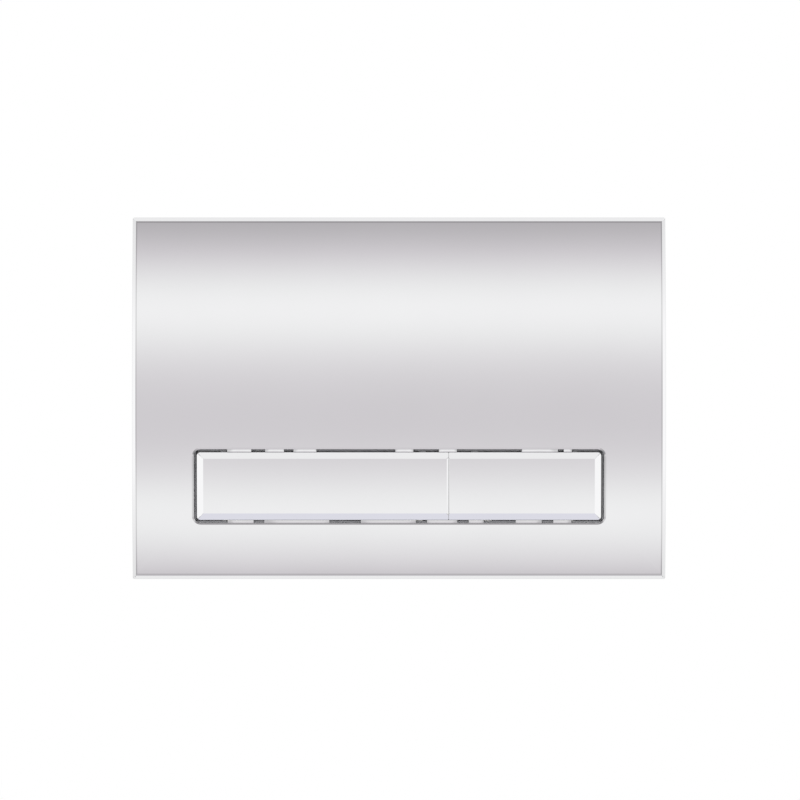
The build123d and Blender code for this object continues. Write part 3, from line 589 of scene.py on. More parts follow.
@dataclass
class FacePlate:
    """Chromed shell with its window, collar, lugs, ribs, bosses and posts.

    A lead is a narrow face that tips in beside an edge. A lug is given by its middle as a share of the
    window's width and by its length in millimetres.
    """

    wall: float = 2.4 * MM
    corner: float = 0.8 * MM
    lip: float = 0.2 * MM
    rim: float = 1.6 * MM
    rim_round: float = 0.25 * MM
    rim_lead: float = 0.9 * MM
    rim_tilt: float = 6.5
    side_lead: float = 0.55 * MM
    side_round: float = 0.5 * MM
    side_depth: float = 4.0 * MM
    window_gap: float = 1.4 * MM
    window_corner: float = 3.2 * MM
    window_lead: Span = (0.8 * MM, 0.27 * MM)
    window_rounds: Span = (0.08 * MM, 0.2 * MM)
    collar_wall: float = 1.8 * MM
    flange: float = 2.0 * MM
    root: float = 0.7
    rib: Span = (1.4 * MM, 2.2 * MM)
    rib_edge: float = 0.3 * MM
    rib_columns: Sizes = (-45.0 * MM, 0.0, 45.0 * MM)
    rib_rows: Sizes = (22.0 * MM, 48.0 * MM)
    rib_room: float = 12.0 * MM
    rib_foot: float = 17.0 * MM
    boss: Span = (1.41 * MM, 3.5 * MM)
    boss_rounds: Sizes = (0.0, 0.0, 0.3 * MM, 0.2 * MM)
    screw_room: float = 5.0 * MM
    post: Span = (9.0 * MM, 2.0 * MM)
    post_places: tuple[Span, ...] = ((70.0 * MM, -74.4 * MM), (70.0 * MM, 72.75 * MM))
    post_tip: float = -1.15 * MM
    post_rounds: Span = (0.3 * MM, 0.25 * MM)
    lug_walls: Span = (1.33 * MM, 1.27 * MM)
    lug_setback: float = 0.9 * MM
    lug_edge: float = 0.1 * MM
    lug_tilt: float = 6.0
    lug_draft: float = 0.08
    top_lugs: tuple[Span, ...] = (
        (-0.389, 11.1), (-0.303, 8.7), (-0.229, 10.6), (0.013, 8.3),
        (0.119, 8.3), (0.343, 16.6), (0.411, 3.7),
    )
    bottom_lugs: tuple[Span, ...] = (
        (-0.386, 12.0), (-0.249, 30.0), (-0.026, 25.3), (0.105, 13.9),
        (0.188, 6.9), (0.316, 12.0), (0.398, 8.3),
    )
    # Grid lines up a side and across. The outermost stand close to the corners' arcs, at a small share of
    # the side, so that the corners' shading doesn't reach into it.
    grid: tuple[int, int] = (50, 98)
    off_corner: float = 0.0004
    face_rows: int = 42
    inner_rows: int = 12
    arc_steps: int = 6
    rib_points: tuple[int, int] = (24, 4)
    boss_around: int = 32

    def __post_init__(self) -> None:
        """Works out the outlines, levels and places from the CAD boxes."""
        self.face = plate_face()
        x, z = extent("face_plate", "x"), extent("face_plate", "z")
        full, half = (button.named("cap") for button in Button)
        side, across = (
            np.clip(np.linspace(0, 1, count), self.off_corner, 1 - self.off_corner) for count in self.grid
        )
        shares = {"across": across, "right_side": side, "left_side": side}
        self.outer = Outline(x, z, self.corner, self.corner, **shares)
        window_x = grown((extent(full, "x")[0], extent(half, "x")[1]), self.window_gap)
        window_z = grown(extent(full, "z"), self.window_gap)
        self.window = Outline(window_x, window_z, self.window_corner, self.window_corner, **shares)
        self.collar_rear = extent("rest_bumpers", "y")[0] - self.flange
        boss_x = grown(window_x, self.collar_wall + self.boss[1])
        boss_z = grown(window_z, self.collar_wall + self.screw_room)
        self.boss_spots = [(x, z) for x in boss_x for z in boss_z]
        self.post_spots = [(way * x, z) for x, z in self.post_places for way in (-1, 1)]

    def under_face(self, loop: np.ndarray, under: float = 0.0) -> np.ndarray:
        """Loop laid on the bowed face or at a distance under it."""
        return raised(loop, self.face.depth(loop[:, 1], under))

    def rim_loop(self, out: float) -> np.ndarray:
        """Loop of the rim, whose lead is narrower beside the face than above and below it."""
        past = min(out + self.rim, 0.0)
        return self.outer.loop(out, out + past * (self.side_lead / self.rim_lead - 1))

    def root_depth(self, z: float) -> float:
        """Depth inside the wall at which what stands behind the face begins."""
        return float(self.face.depth(z, self.wall * self.root))

    def shell(self) -> Sheet:
        """The wall as one closed ring: a section carried round the window and the rim together.

        The section runs from the collar's rear along the window's wall, over its rounded edge, along the
        bowed face, over the rim's bevel, down the side and back inside to the collar.

        Returns:
            Grid that closes both ways.
        """
        wide, deep = self.window_lead
        turns = [(0.0, 2 * self.wall), (0.0, deep), (wide, 0.0), (2 * wide, 0.0)]
        edge = fillet_path(turns, [0, *self.window_rounds, 0], self.arc_steps)[1:-1]
        lead = -self.rim - self.rim_lead
        dip = self.rim_lead * math.tan(math.radians(self.rim_tilt))
        turns = [(2 * lead, 0.0), (lead, 0.0), (-self.rim, dip), (0.0, self.rim), (0.0, self.side_depth)]
        rim = fillet_path(turns, [0, self.rim_round, self.rim_round, self.side_round, 0], self.arc_steps)[1:]
        near, far = self.window.loop(edge[-1, 0]), self.rim_loop(rim[0, 0])
        inside, collar = self.outer.loop(-self.wall), self.window.loop(self.collar_wall)
        lip, wall = self.lip, self.wall
        foot = ((0.0, -lip), (-lip, 0.0), (lip - wall, 0.0), (-wall, -lip))
        rows = [raised(self.window.loop(), self.collar_rear)]
        rows += [self.under_face(self.window.loop(out), under) for out, under in edge]
        rows += [self.under_face(near + share * (far - near)) for share in swell(self.face_rows)[1:-1]]
        rows += [self.under_face(self.rim_loop(out), under) for out, under in rim]
        rows += [raised(self.outer.loop(out), y) for out, y in foot]
        even = np.linspace(0, 1, self.inner_rows)
        rows += [self.under_face(inside + share * (collar - inside), wall) for share in even]
        rows.append(raised(collar, self.collar_rear))
        return Sheet(np.stack(rows), wrap_rows=True)

    def ribs(self) -> list[Sheet]:
        """Ribs behind the face, sunk into half of the wall: a bar carried along the bow or straight along X.

        Returns:
            Closed grids.
        """
        width, height = self.rib
        sunk = self.wall / 2
        section = bar_section(width, height + sunk, self.rib_edge)
        under = sunk + (height + sunk) / 2
        foot = self.window.z[1] + self.collar_wall + self.rib_foot
        z = np.linspace(foot, self.outer.z[1] - self.wall - self.rib_room, self.rib_points[0])
        x = np.linspace(*grown(self.outer.x, -self.wall - self.rib_room), self.rib_points[1])
        lines = [(np.full_like(z, column), z, X_WAY) for column in self.rib_columns]
        lines += [(x, np.full_like(x, row), Z_WAY) for row in self.rib_rows]
        return [
            sweep(np.stack([along, self.face.depth(up, under), up], axis=-1), across, Y_WAY, section)
            for along, up, across in lines
        ]

    def bosses(self) -> list[Sheet]:
        """Tubes that the carrier's screws go into: a rounded section turned round each axis.

        Returns:
            Closed grids.
        """
        ends = [(self.root_depth(z), self.collar_rear) for x, z in self.boss_spots]
        rings = [ring(y, self.boss, self.boss_rounds, COARSE_ARC) for y in ends]
        return [lathe(*pair, self.boss_around, closed=True) for pair in zip(self.boss_spots, rings)]

    def posts(self) -> list[Sheet]:
        """Tongues that the clips sit on: blocks with rounded edges.

        Returns:
            Closed grids.
        """
        wide, high = self.post
        return [
            block(span(wide, x), span(high, z), (self.root_depth(z), self.post_tip), self.post_rounds)
            for x, z in self.post_spots
        ]

    def lugs(self) -> list[Sheet]:
        """Guide lugs on the window's upper and lower wall, which show in the gap as light pieces.

        The fronts of the upper ones lean up to the light: y grows with z × tan(tilt) over the front half.
        Each lug draws back to its wall by draft × depth, which leaves the buttons their way in.

        Returns:
            Closed grids.
        """
        sheets = []
        width = self.window.x[1] - self.window.x[0]
        tilt = math.tan(math.radians(self.lug_tilt))
        upper = (self.top_lugs, self.window.z[1], self.lug_walls[0], 1, tilt)
        lower = (self.bottom_lugs, self.window.z[0], self.lug_walls[1], -1, 0.0)
        for lugs, z, wall, way, lean in (upper, lower):
            ends = tuple(sorted((z + way * self.collar_wall / 2, z - way * wall)))
            front = float(self.face.depth(z)) + self.lug_setback
            for share, length in lugs:
                x = span(length * MM, share * width)
                points = block(x, ends, (front, self.collar_rear), (self.lug_edge, self.lug_edge)).points
                in_front = points[..., 1] < (front + self.collar_rear) / 2
                in_gap = way * (z - points[..., 2]) > 0
                points[..., 2] += np.where(in_gap, way * self.lug_draft * (points[..., 1] - front), 0.0)
                points[..., 1] += np.where(in_front, lean * (points[..., 2] - ends[0]), 0.0)
                sheets.append(Sheet(points))
        return sheets

    def build(self) -> Object:
        """Builds the plate and dresses it in chrome."""
        sheets = [self.shell(), *self.ribs(), *self.bosses(), *self.posts(), *self.lugs()]
        return build("face_plate", "shell", sheets, CHROME, sharp=28.0)


# Width and depth of the narrow break along each cap's side at the line between the buttons
SPLIT_BREAKS = {Button.FULL: (0.9 * MM, 0.34 * MM), Button.HALF: (0.4 * MM, 0.15 * MM)}


@dataclass
class ButtonCap:
    """Chromed hollow cap of one button, with hooks and seats for its rocker inside.

    Its outer side is the one away from the other button, and its split side the one beside it.
    """

    button: Button
    bevel: Span = (3.0 * MM, 1.2 * MM)
    outer_corner: float = 1.6 * MM
    split_corner: float = 0.3 * MM
    split_reach: float = 0.06 * MM
    soft: float = 0.004 * MM
    grid: float = 0.1 * MM
    wide_lines: tuple[int, int] = (56, 26)
    edge: float = 0.07 * MM
    edge_steps: int = 5
    corner_steps: int = 12
    wall: float = 1.8 * MM
    lip: float = 0.15 * MM
    lap: float = 0.8 * MM
    root: float = 0.6
    seat_inset: float = 14.0 * MM
    seat_wall: float = 1.2 * MM
    seat_z: Span = (-53.9 * MM, -33.5 * MM)
    fitting_rounds: Span = (0.2 * MM, 0.15 * MM)
    rocker_wall: float = 1.6 * MM
    hook_inset: float = 8.0 * MM
    hook: Triple = (5.0 * MM, 1.2 * MM, 0.7 * MM)
    hook_spacing: float = 10.0 * MM
    hook_play: float = 0.1 * MM
    catch_trim: float = 0.3 * MM
    catch_middle: float = 0.4

    def __post_init__(self) -> None:
        """Works out the outline and the spacing of the grid, which is close at the bevels."""
        self.face = plate_face()
        self.split_break = SPLIT_BREAKS[self.button]
        low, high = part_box(self.button.named("cap"))
        reach = self.swapped(0.0, self.split_reach)
        self.x, self.z, self.rear = (low.x - reach[0], high.x + reach[1]), (low.z, high.z), high.y
        left, right = self.swapped(self.outer_corner, self.split_corner)
        outer, split = (self.outer_corner, self.bevel[0]), (self.split_corner, self.split_break[0])
        across = self.lines(self.x, *self.swapped(outer, split), self.wide_lines[0])
        upright = self.lines(self.z, outer, outer, self.wide_lines[1])
        width, height = self.x[1] - self.x[0], self.z[1] - self.z[0]
        self.outline = Outline(
            self.x,
            self.z,
            right,
            left,
            across=(across - left) / (width - left - right),
            right_side=(upright - right) / (height - 2 * right),
            left_side=(upright - left) / (height - 2 * left),
            steps=self.corner_steps,
        )

    def swapped(self, first: object, second: object) -> tuple:
        """Turns outer and split side into left and right side, or the other way round."""
        return (first, second) if self.button is Button.FULL else (second, first)

    def lines(self, ends: Span, first: Span, last: Span, count: int) -> np.ndarray:
        """Distances of the grid's lines along a side, close over the bevels and wide between them.

        Args:
            ends: Ends of the side.
            first: Corner's radius and bevel's width at its start.
            last: Corner's radius and bevel's width at its end.
            count: Lines between the bevels.

        Returns:
            Distances from the side's start.
        """
        length = ends[1] - ends[0]
        close = []
        for corner, width in (first, last):
            close.append(np.linspace(corner, width, 2 + int((width - corner) / self.grid))[1:])
        start, end = first[1] + self.grid, length - last[1] - self.grid
        return np.concatenate([close[0], start + swell(count) * (end - start), length - close[1][::-1]])

    def drop(self, flat: np.ndarray) -> np.ndarray:
        """Distance under the bowed face: the deepest of four ramps, one from each edge.

        Each ramp is depth / width × (t + sqrt(t² + soft²)) / 2 with t the way past the bevel's inner edge.

        Args:
            flat: X and Z of the points.

        Returns:
            Distance under the face.
        """
        outer, split = self.swapped(flat[..., 0] - self.x[0], self.x[1] - flat[..., 0])
        edges = [(outer, self.bevel, self.soft), (split, self.split_break, self.soft / 2)]
        upright = (flat[..., 1] - self.z[0], self.z[1] - flat[..., 1])
        edges += [(way, self.bevel, self.soft) for way in upright]
        past = [(width - way, depth / width, soft) for way, (width, depth), soft in edges]
        return np.max([slope * (t + np.sqrt(t**2 + soft**2)) / 2 for t, slope, soft in past], axis=0)

    def shell(self) -> list[Sheet]:
        """The cap's skin: a front grid on the bowed face less the bevels, walls round it and an inner grid.

        The walls begin with an arc from the bevel's slope to straight back, whose radius is
        edge / (1 − sin(slope)).

        Returns:
            Grids that close the cap together.
        """
        outline, wall, lip = self.outline, self.wall, self.lip
        front, back = outline.patch(-self.edge), outline.patch(-wall)
        rim, inside = outline.loop(-self.edge), outline.loop(-wall)
        rim_y = self.face.depth(rim[:, 1], self.drop(rim))
        slope = math.atan2(self.bevel[1], self.bevel[0])
        radius = self.edge / (1 - math.sin(slope))
        rows = []
        for angle in np.linspace(slope, math.pi / 2, self.edge_steps + 1):
            out = radius * (math.sin(angle) - math.sin(slope)) - self.edge
            rows.append(raised(outline.loop(out), rim_y + radius * (math.cos(slope) - math.cos(angle))))
        foot = ((0.0, lip), (-lip, 0.0), (lip - wall, 0.0), (-wall, lip))
        rows += [raised(outline.loop(out), self.rear - up) for out, up in foot]
        rows.append(raised(inside, self.face.depth(inside[:, 1], wall)))
        skins = ((front, self.drop(front)), (back, wall))
        grids = [raised(flat, self.face.depth(flat[..., 1], under)) for flat, under in skins]
        return [*(Sheet(grid, wrap_columns=False) for grid in grids), Sheet(np.stack(rows))]

    def fittings(self) -> list[Sheet]:
        """Seats for the rocker's plate, and snap hooks that reach through it and catch behind it.

        Returns:
            Closed grids.
        """
        rocker_rear = self.rear - self.lap
        skin = float(self.face.depth(self.z[0], self.wall * self.root))
        sheets = []
        for x in grown(self.x, -self.seat_inset):
            y = (skin, rocker_rear - self.rocker_wall)
            sheets.append(block(span(self.seat_wall, x), self.seat_z, y, self.fitting_rounds))
        width, wall, catch = self.hook
        start = rocker_rear + self.hook_play
        tip = start + wall
        ends = span(width - self.catch_trim)
        for x, way in [(x, way) for x in grown(self.x, -self.hook_inset) for way in (-1, 1)]:
            z = sum(self.seat_z) / 2 + way * self.hook_spacing / 2
            back = z - way * wall
            thick = tuple(sorted((back, z)))
            sheets.append(block(span(width, x), thick, (skin, tip), self.fitting_rounds))
            middle = np.array([x, start + wall * self.catch_middle, z])
            barb = np.array([(start, back), (start, z + way * catch), (tip, z), (tip, back)]) - middle[1:]
            sheets.append(sweep(middle + np.outer(ends, X_WAY), Y_WAY, Z_WAY, barb))
        return sheets

    def build(self) -> Object:
        """Builds the cap and dresses it in chrome."""
        node, body = self.button.named("cap"), self.button.named("button")
        return build(node, "shell", [*self.shell(), *self.fittings()], CHROME, body, sharp=14.0)


@dataclass(frozen=True)
class ThumbNut:
    """Moulded nut with scallops round its rim for the fingers."""

    radius: float
    bore: float
    play: float = 0.01 * MM
    rounds: Sizes = (0.3 * MM, 0.7 * MM, 0.7 * MM, 0.3 * MM)
    scallops: int = 8
    depth: float = 1.0 * MM
    wave: Span = (0.5, 0.9)
    fade: int = 3
    around: int = 96

    def sheet(self, spot: Span, y: Span) -> Sheet:
        """Rounded ring whose rim dips in by a clipped wave of the angle, and less towards the bore.

        Args:
            spot: X and Z of the axis.
            y: Front and rear.

        Returns:
            Closed grid.
        """
        bore = self.bore + self.play
        section = ring(y, (bore, self.radius), self.rounds, FINE_ARC)
        dip = np.clip(self.wave[0] + self.wave[1] * np.cos(self.scallops * angles(self.around)), 0, 1)
        share = np.clip((section[:, 1:] - bore) / (self.radius - bore), 0, 1) ** self.fade
        return turned(spot, section[:, 0], section[:, 1:] - self.depth * share * dip, closed=True)


@dataclass
class PushWorks:
    """Rod, thumb nut, return spring and hinge pin of one button."""

    button: Button
    nose: Span = (1.5 * MM, 1.1 * MM)
    head: Span = (5.0 * MM, 2.0 * MM)
    head_rounds: Sizes = (0.5 * MM, 0.3 * MM, 0.4 * MM, 0.3 * MM)
    shank: float = 3.0 * MM
    end: Span = (2.5 * MM, 12.0 * MM)
    end_rounds: Sizes = (0.3 * MM, 0.1 * MM, 0.6 * MM)
    pitch: float = 2.0 * MM
    thread_depth: float = 0.35 * MM
    thread_lead: float = 2.0 * MM
    nut_radius: float = 7.0 * MM
    wire: float = 0.8 * MM
    coil: float = 4.2 * MM
    coil_turns: float = 4.5
    coil_rest: float = 0.5
    coil_play: float = 0.05 * MM
    coil_points: tuple[int, int] = (48, 14)
    pin: float = 1.5 * MM
    pin_round: float = 0.35 * MM
    around: tuple[int, int] = (36, 32)

    def __post_init__(self) -> None:
        """Takes the rod's axis and ends from its CAD node."""
        node = self.button.named("push_rod")
        self.axis, self.ends = centre(node, "xz"), extent(node, "y")
        self.seat = self.ends[0] + self.nose[1] + self.head[1]

    def rod(self) -> Object:
        """Moulded rod: a turned profile from nose to end, with a coarse thread where the nut runs.

        Returns:
            The piece.
        """
        (tip, rear), seat, shank = self.ends, self.seat, self.shank
        (nose, nose_length), head, (end, end_length) = self.nose, self.head[0], self.end
        neck, step = tip + nose_length, rear - end_length
        nut_front = extent(self.button.named("rod_nut"), "y")[0]
        thread_y = (nut_front - self.thread_lead, step - self.thread_lead)
        thread = Thread(thread_y, self.pitch, self.thread_depth, per_turn=10)
        front = [(tip, 0), (tip, nose), (neck, nose), (neck, head), (seat, head), (seat, shank)]
        back = [(thread_y[1], shank), (step, shank), (step, end), (rear, end), (rear, 0)]
        front = fillet_path(front, [0, *self.head_rounds, 0])
        back = fillet_path(back, [0, *self.end_rounds, 0])[1:]
        profile = np.concatenate([front, thread.bar(shank), back])
        sheet = turned(self.axis, profile[:, 0], profile[:, 1:] - thread.cut(profile[:, 0], self.around[0]))
        return build(self.button.named("push_rod"), "threaded", [sheet], ROD, self.button.named("rod"))

    def nut(self) -> Object:
        """Thumb nut on the rod.

        Returns:
            The piece.
        """
        node = self.button.named("rod_nut")
        sheet = ThumbNut(self.nut_radius, self.shank).sheet(self.axis, extent(node, "y"))
        return build(node, "moulded", [sheet], NUT, self.button.named("rod"))

    def spring(self) -> Object:
        """Coil spring: a round section carried along a helix.

        The angle grows evenly, and the depth too but for a flat part turn at each end.

        Returns:
            The piece.
        """
        node, slide = self.button.named("return_spring"), self.button.named("rod_slide")
        x, z = self.axis
        floor = extent(node, "y")[1] + self.coil_play
        start, end = grown((self.seat, floor), -self.coil_play - self.wire / 2)
        share = np.linspace(0, 1, int(self.coil_points[0] * self.coil_turns))
        angle = 2 * math.pi * self.coil_turns * share
        rising = share * self.coil_turns - self.coil_rest
        lift = np.clip(rising / (self.coil_turns - 2 * self.coil_rest), 0, 1)
        out = np.stack([np.cos(angle), np.zeros_like(angle), np.sin(angle)], axis=-1)
        middle = np.array([x, start, z]) + np.outer(lift * (end - start), Y_WAY)
        around = angles(self.coil_points[1])
        section = self.wire / 2 * np.stack([np.cos(around), np.sin(around)], axis=-1)
        coil = sweep(middle + self.coil * out, out, Y_WAY, section)
        piece = build(node, "coil", [coil], SPRING, sharp=60.0)
        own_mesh(piece)
        return piece

    def hinge(self) -> Object:
        """Hinge pin: a turned bar with rounded ends, laid along X.

        Returns:
            The piece.
        """
        node = self.button.named("hinge_pin")
        left, right = extent(node, "x")
        corners = [(left, 0), (left, self.pin), (right, self.pin), (right, 0)]
        profile = fillet_path(corners, [0, self.pin_round, self.pin_round, 0])
        upright = lathe(centre(node, "yz"), profile, self.around[1])
        return build(node, "bar", [Sheet(upright.points[..., [1, 0, 2]])], ZINC)

    def build(self) -> None:
        """Builds the rod, its nut, its spring and the hinge pin."""
        for make in (self.rod, self.nut, self.spring, self.hinge):
            make()


@dataclass
class WallFixings:
    """Studs, washers and thumb nuts that draw the frame to the cistern."""

    spacing: float = 160.0 * MM
    front: float = 3.0 * MM
    rear: float = 4.0 * MM
    fine: Span = (1.0 * MM, 0.5 * MM)
    coarse: Span = (1.25 * MM, 0.6 * MM)
    lead: float = 0.3 * MM
    gap: Span = (0.5 * MM, 6.0 * MM)
    points: Span = (0.5 * MM, 0.6 * MM)
    point_round: float = 0.2 * MM
    collar_flats: float = 11.0 * MM
    collar: Span = (-2.5 * MM, 0.0)
    collar_rounds: Sizes = (0.2 * MM, 0.25 * MM, 0.25 * MM, 0.2 * MM)
    around: int = 36
    washer: Span = (3.3 * MM, 8.0 * MM)
    washer_around: int = 56
    washer_rounds: Sizes = (0.1 * MM, 0.35 * MM, 0.1 * MM, 0.1 * MM)
    nut_radius: float = 9.0 * MM

    def stud(self, spot: Span, y: Span) -> Sheet:
        """Stud: a fine thread in front, a hexagonal collar and a coarser thread behind.

        The collar's radius is half its width over flats / cos(angle from the middle of a flat).

        Args:
            spot: X and Z of the axis.
            y: Front and rear.

        Returns:
            Closed grid.
        """
        start, end = self.collar
        front, rear, flat = self.front, self.rear, self.collar_flats / 2
        fine = Thread((y[0] + self.lead, start - self.gap[0]), *self.fine)
        coarse = Thread((end + self.gap[1], y[1] - self.lead), *self.coarse)
        tip = [(y[0], 0), (y[0], front - self.points[0]), (fine.y[0], front)]
        collar = [(fine.y[1], front), (start, front), (start, flat)]
        collar += [(end, flat), (end, rear), (coarse.y[0], rear)]
        tail = [(coarse.y[1], rear), (y[1], rear - self.points[1]), (y[1], 0)]
        profile = np.concatenate([
            fillet_path(tip, [0, self.point_round, 0]),
            fine.bar(front)[1:-1],
            fillet_path(collar, [0, *self.collar_rounds, 0], COARSE_ARC),
            coarse.bar(rear)[1:-1],
            fillet_path(tail, [0, self.point_round, 0]),
        ])
        depth, radius = profile[:, 0], profile[:, 1:]
        corner = (angles(self.around) + math.pi / 6) % (math.pi / 3) - math.pi / 6
        big = np.clip((radius - rear) / (flat - rear), 0, 1)
        inside = ((depth >= start) & (depth <= end))[:, None]
        hexagon = 1 + np.where(inside, big, 0) * (1 / np.cos(corner) - 1)
        cut = fine.cut(depth, self.around) + coarse.cut(depth, self.around)
        return turned(spot, depth, radius * hexagon - cut)

    def build(self) -> None:
        """Builds the studs, washers and nuts, each kind as one piece."""
        y = {kind: extent(f"fixing_{kind}", "y") for kind in ("studs", "washers", "nuts")}
        spots = [(x, *centre("fixing_studs", "z")) for x in span(self.spacing)]
        washer = ring(y["washers"], self.washer, self.washer_rounds, COARSE_ARC)
        nut = ThumbNut(self.nut_radius, self.front)
        build("fixing_studs", "threaded", [self.stud(spot, y["studs"]) for spot in spots], ZINC)
        washers = [lathe(spot, washer, self.washer_around, closed=True) for spot in spots]
        build("fixing_washers", "pressed", washers, ZINC)
        build("fixing_nuts", "moulded", [nut.sheet(spot, y["nuts"]) for spot in spots], NUT)


@dataclass
class CarrierFixings:
    """Screws, rubber bumpers and spring clips behind the plate."""

    plate: FacePlate
    screw: float = 1.4 * MM
    head: Span = (2.6 * MM, 1.8 * MM)
    dome: float = 0.9
    dome_rows: int = 18
    crown: float = 0.35 * MM
    rim_drop: float = 0.6 * MM
    rim_rounds: Span = (0.4 * MM, 0.15 * MM)
    recess: Triple = (0.42 * MM, 1.5 * MM, 0.9 * MM)
    thread: Span = (1.1 * MM, 0.4 * MM)
    thread_leads: Span = (1.2 * MM, 0.3 * MM)
    point: float = 0.3 * MM
    around: int = 48
    bumper: Span = (6.0 * MM, 4.0 * MM)
    bumper_inset: float = 16.0 * MM
    bumper_rounds: Span = (0.8 * MM, 0.25 * MM)
    strip: float = 0.4 * MM
    strip_edge: float = 0.12 * MM
    clip_width: float = 8.0 * MM
    clip_leg: float = 1.15 * MM
    clip_bulge: float = 1.2 * MM
    clip_levels: Sizes = (-7.4 * MM, -6.2 * MM, -3.6 * MM, -2.1 * MM, -1.0 * MM)
    clip_bends: Sizes = (0.0, 0.8 * MM, 0.6 * MM, 0.6 * MM, 0.4 * MM)

    def screws(self) -> Object:
        """Pan-head tapping screws: a domed head with a cross sunk into it, and a coarse pointed thread.

        The cross is the deeper of two arms. Each falls off as 1 − (x / width)⁴ and 1 − (z / length)⁴.

        Returns:
            The piece.
        """
        low, high = extent("carrier_screws", "y")
        radius, height = self.head
        under = high - height
        dome = np.linspace(0, radius * self.dome, self.dome_rows)[:, None]
        top = high - self.crown * (dome / radius) ** 2
        sides = [np.abs(dome * way(angles(self.around))) for way in (np.cos, np.sin)]
        width, length, depth = self.recess
        arms = [
            np.clip(1 - (a / width) ** 4, 0, 1) * np.clip(1 - (b / length) ** 4, 0, 1)
            for a, b in (sides, sides[::-1])
        ]
        sunk = top - depth * np.maximum(*arms)
        thread = Thread((low + self.thread_leads[0], under - self.thread_leads[1]), *self.thread)
        rim = [(top[-1, 0], dome[-1, 0]), (high - self.rim_drop, radius)]
        rim = fillet_path([*rim, (under, radius), (under, self.screw)], [0, *self.rim_rounds, 0])[1:]
        tip = [(low, self.point), (low, 0.0)]
        profile = np.concatenate([rim, thread.bar(self.screw)[::-1], tip])
        levels = np.concatenate([sunk, np.repeat(profile[:, :1], self.around, axis=1)])
        shank = profile[:, 1:] - thread.cut(profile[:, 0], self.around)
        radii = np.concatenate([np.broadcast_to(dome, sunk.shape), shank])
        sheets = [turned(spot, levels, radii) for spot in self.plate.boss_spots]
        return build("carrier_screws", "threaded", sheets, ZINC, sharp=45.0)

    def bumpers(self) -> Object:
        """Soft pads under the rockers' tongues: blocks with rounded edges.

        Returns:
            The piece.
        """
        wide, high = self.bumper
        caps = [extent(button.named("cap"), "x") for button in Button]
        places = [x for cap in caps for x in grown(cap, -self.bumper_inset)]
        z, y = span(high, *centre("rest_bumpers", "z")), extent("rest_bumpers", "y")
        pads = [block(span(wide, x), z, y, self.bumper_rounds) for x in places]
        return build("rest_bumpers", "moulded", pads, RUBBER)

    def clips(self) -> Object:
        """Folded spring strips over the posts: a flat section carried along a bent line.

        Returns:
            The piece.
        """
        middle = self.clip_leg + self.strip / 2
        offsets = [middle + self.clip_bulge / 2, middle, middle, middle + self.clip_bulge, middle]
        levels = [*self.clip_levels[:-1], self.clip_levels[-1] + self.strip / 2]
        half = list(zip(levels, offsets))
        bends = half + [(y, -offset) for y, offset in reversed(half)]
        line = fillet_path(bends, self.clip_bends + self.clip_bends[::-1])
        along = np.gradient(line, axis=0)
        along /= np.linalg.norm(along, axis=1, keepdims=True)
        up = np.stack([np.zeros(len(line)), -along[:, 1], along[:, 0]], axis=-1)
        section = bar_section(self.clip_width, self.strip, self.strip_edge)
        path = np.stack([np.zeros(len(line)), line[:, 0], line[:, 1]], axis=-1)
        sheets = [sweep(path + np.array([x, 0.0, z]), X_WAY, up, section) for x, z in self.plate.post_spots]
        return build("retaining_clips", "folded", sheets, SPRING, sharp=40.0)

    def build(self) -> None:
        """Builds the screws, the bumpers and the clips."""
        for make in (self.screws, self.bumpers, self.clips):
            make()


@dataclass(frozen=True)
class Moulding:
    """CAD solid dressed as a moulding: a merged copy whose edges a bevel softens. Angles are in degrees."""

    node: str
    finish: Finish
    body: str = PLATE
    edge: float = 0.2 * MM
    sharp: float = 30.0
    flat: float = 0.5
    softened_from: float = 35.0

    def build(self) -> Object:
        """Copies the solid, joins its flat faces, softens its edges and dresses it.

        Returns:
            The piece.
        """
        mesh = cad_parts[self.node].data.copy()
        mesh.name = f"{self.node}_moulded"
        tidy(mesh, self.sharp, self.flat)
        piece = place(mesh, self.node, self.finish, self.body)
        soften = piece.modifiers.new("soft_edges", "BEVEL")
        soften.width = self.edge
        soften.segments = 2
        soften.limit_method = "ANGLE"
        soften.angle_limit = math.radians(self.softened_from)
        soften.use_clamp_overlap = True
        soften.harden_normals = True
        return piece


class Measure(Enum):
    """What a direction in the room is sorted by, as seen from the plate. All but the last are in degrees."""

    RISE = "angle about X above the level in front"
    TURN = "angle to the left or right side"
    LIFT = "angle above the level"
    SLANT = "angle above or below the level"
    FRONT = "share of the way that points to the front"


@dataclass(frozen=True)
class Panel:
    """Soft panel, or flag where its gain is below 0, that runs along X in front of the plate."""

    rise: float
    width: float
    gain: float


class Style(Enum):
    """How a ramp grows, by the name of the map range's interpolation."""

    SOFT = "SMOOTHSTEP"
    EVEN = "LINEAR"


@dataclass(frozen=True)
class Ramp:
    """Share that grows from 0 to 1 as a measure passes from a start to an end."""

    measure: Measure
    start: float
    end: float
    style: Style = Style.SOFT

    def share(self, tree: NodeTree, found: dict[Measure, NodeSocket]) -> NodeSocket:
        """Share of a direction, from its measures."""
        ends = {"Value": found[self.measure], "From Min": self.start, "From Max": self.end}
        return add(tree, "MapRange", ends, interpolation_type=self.style.value)[0]


@dataclass(frozen=True)
class Zone:
    """Part of the room with its own light, which takes over by the product of its ramps."""

    light: Triple
    ramps: tuple[Ramp, ...]


@dataclass(frozen=True)
class Lamp:
    """Soft lamp that shines at the plate."""

    name: str
    spot: Triple
    power: float
    size: Span


UNDER = (Ramp(Measure.LIFT, -15, -23), Ramp(Measure.TURN, 16, 26))
BEFORE = Ramp(Measure.FRONT, 0.08, 0.3, Style.EVEN)
BEHIND = Ramp(Measure.FRONT, -0.4, -0.6, Style.EVEN)
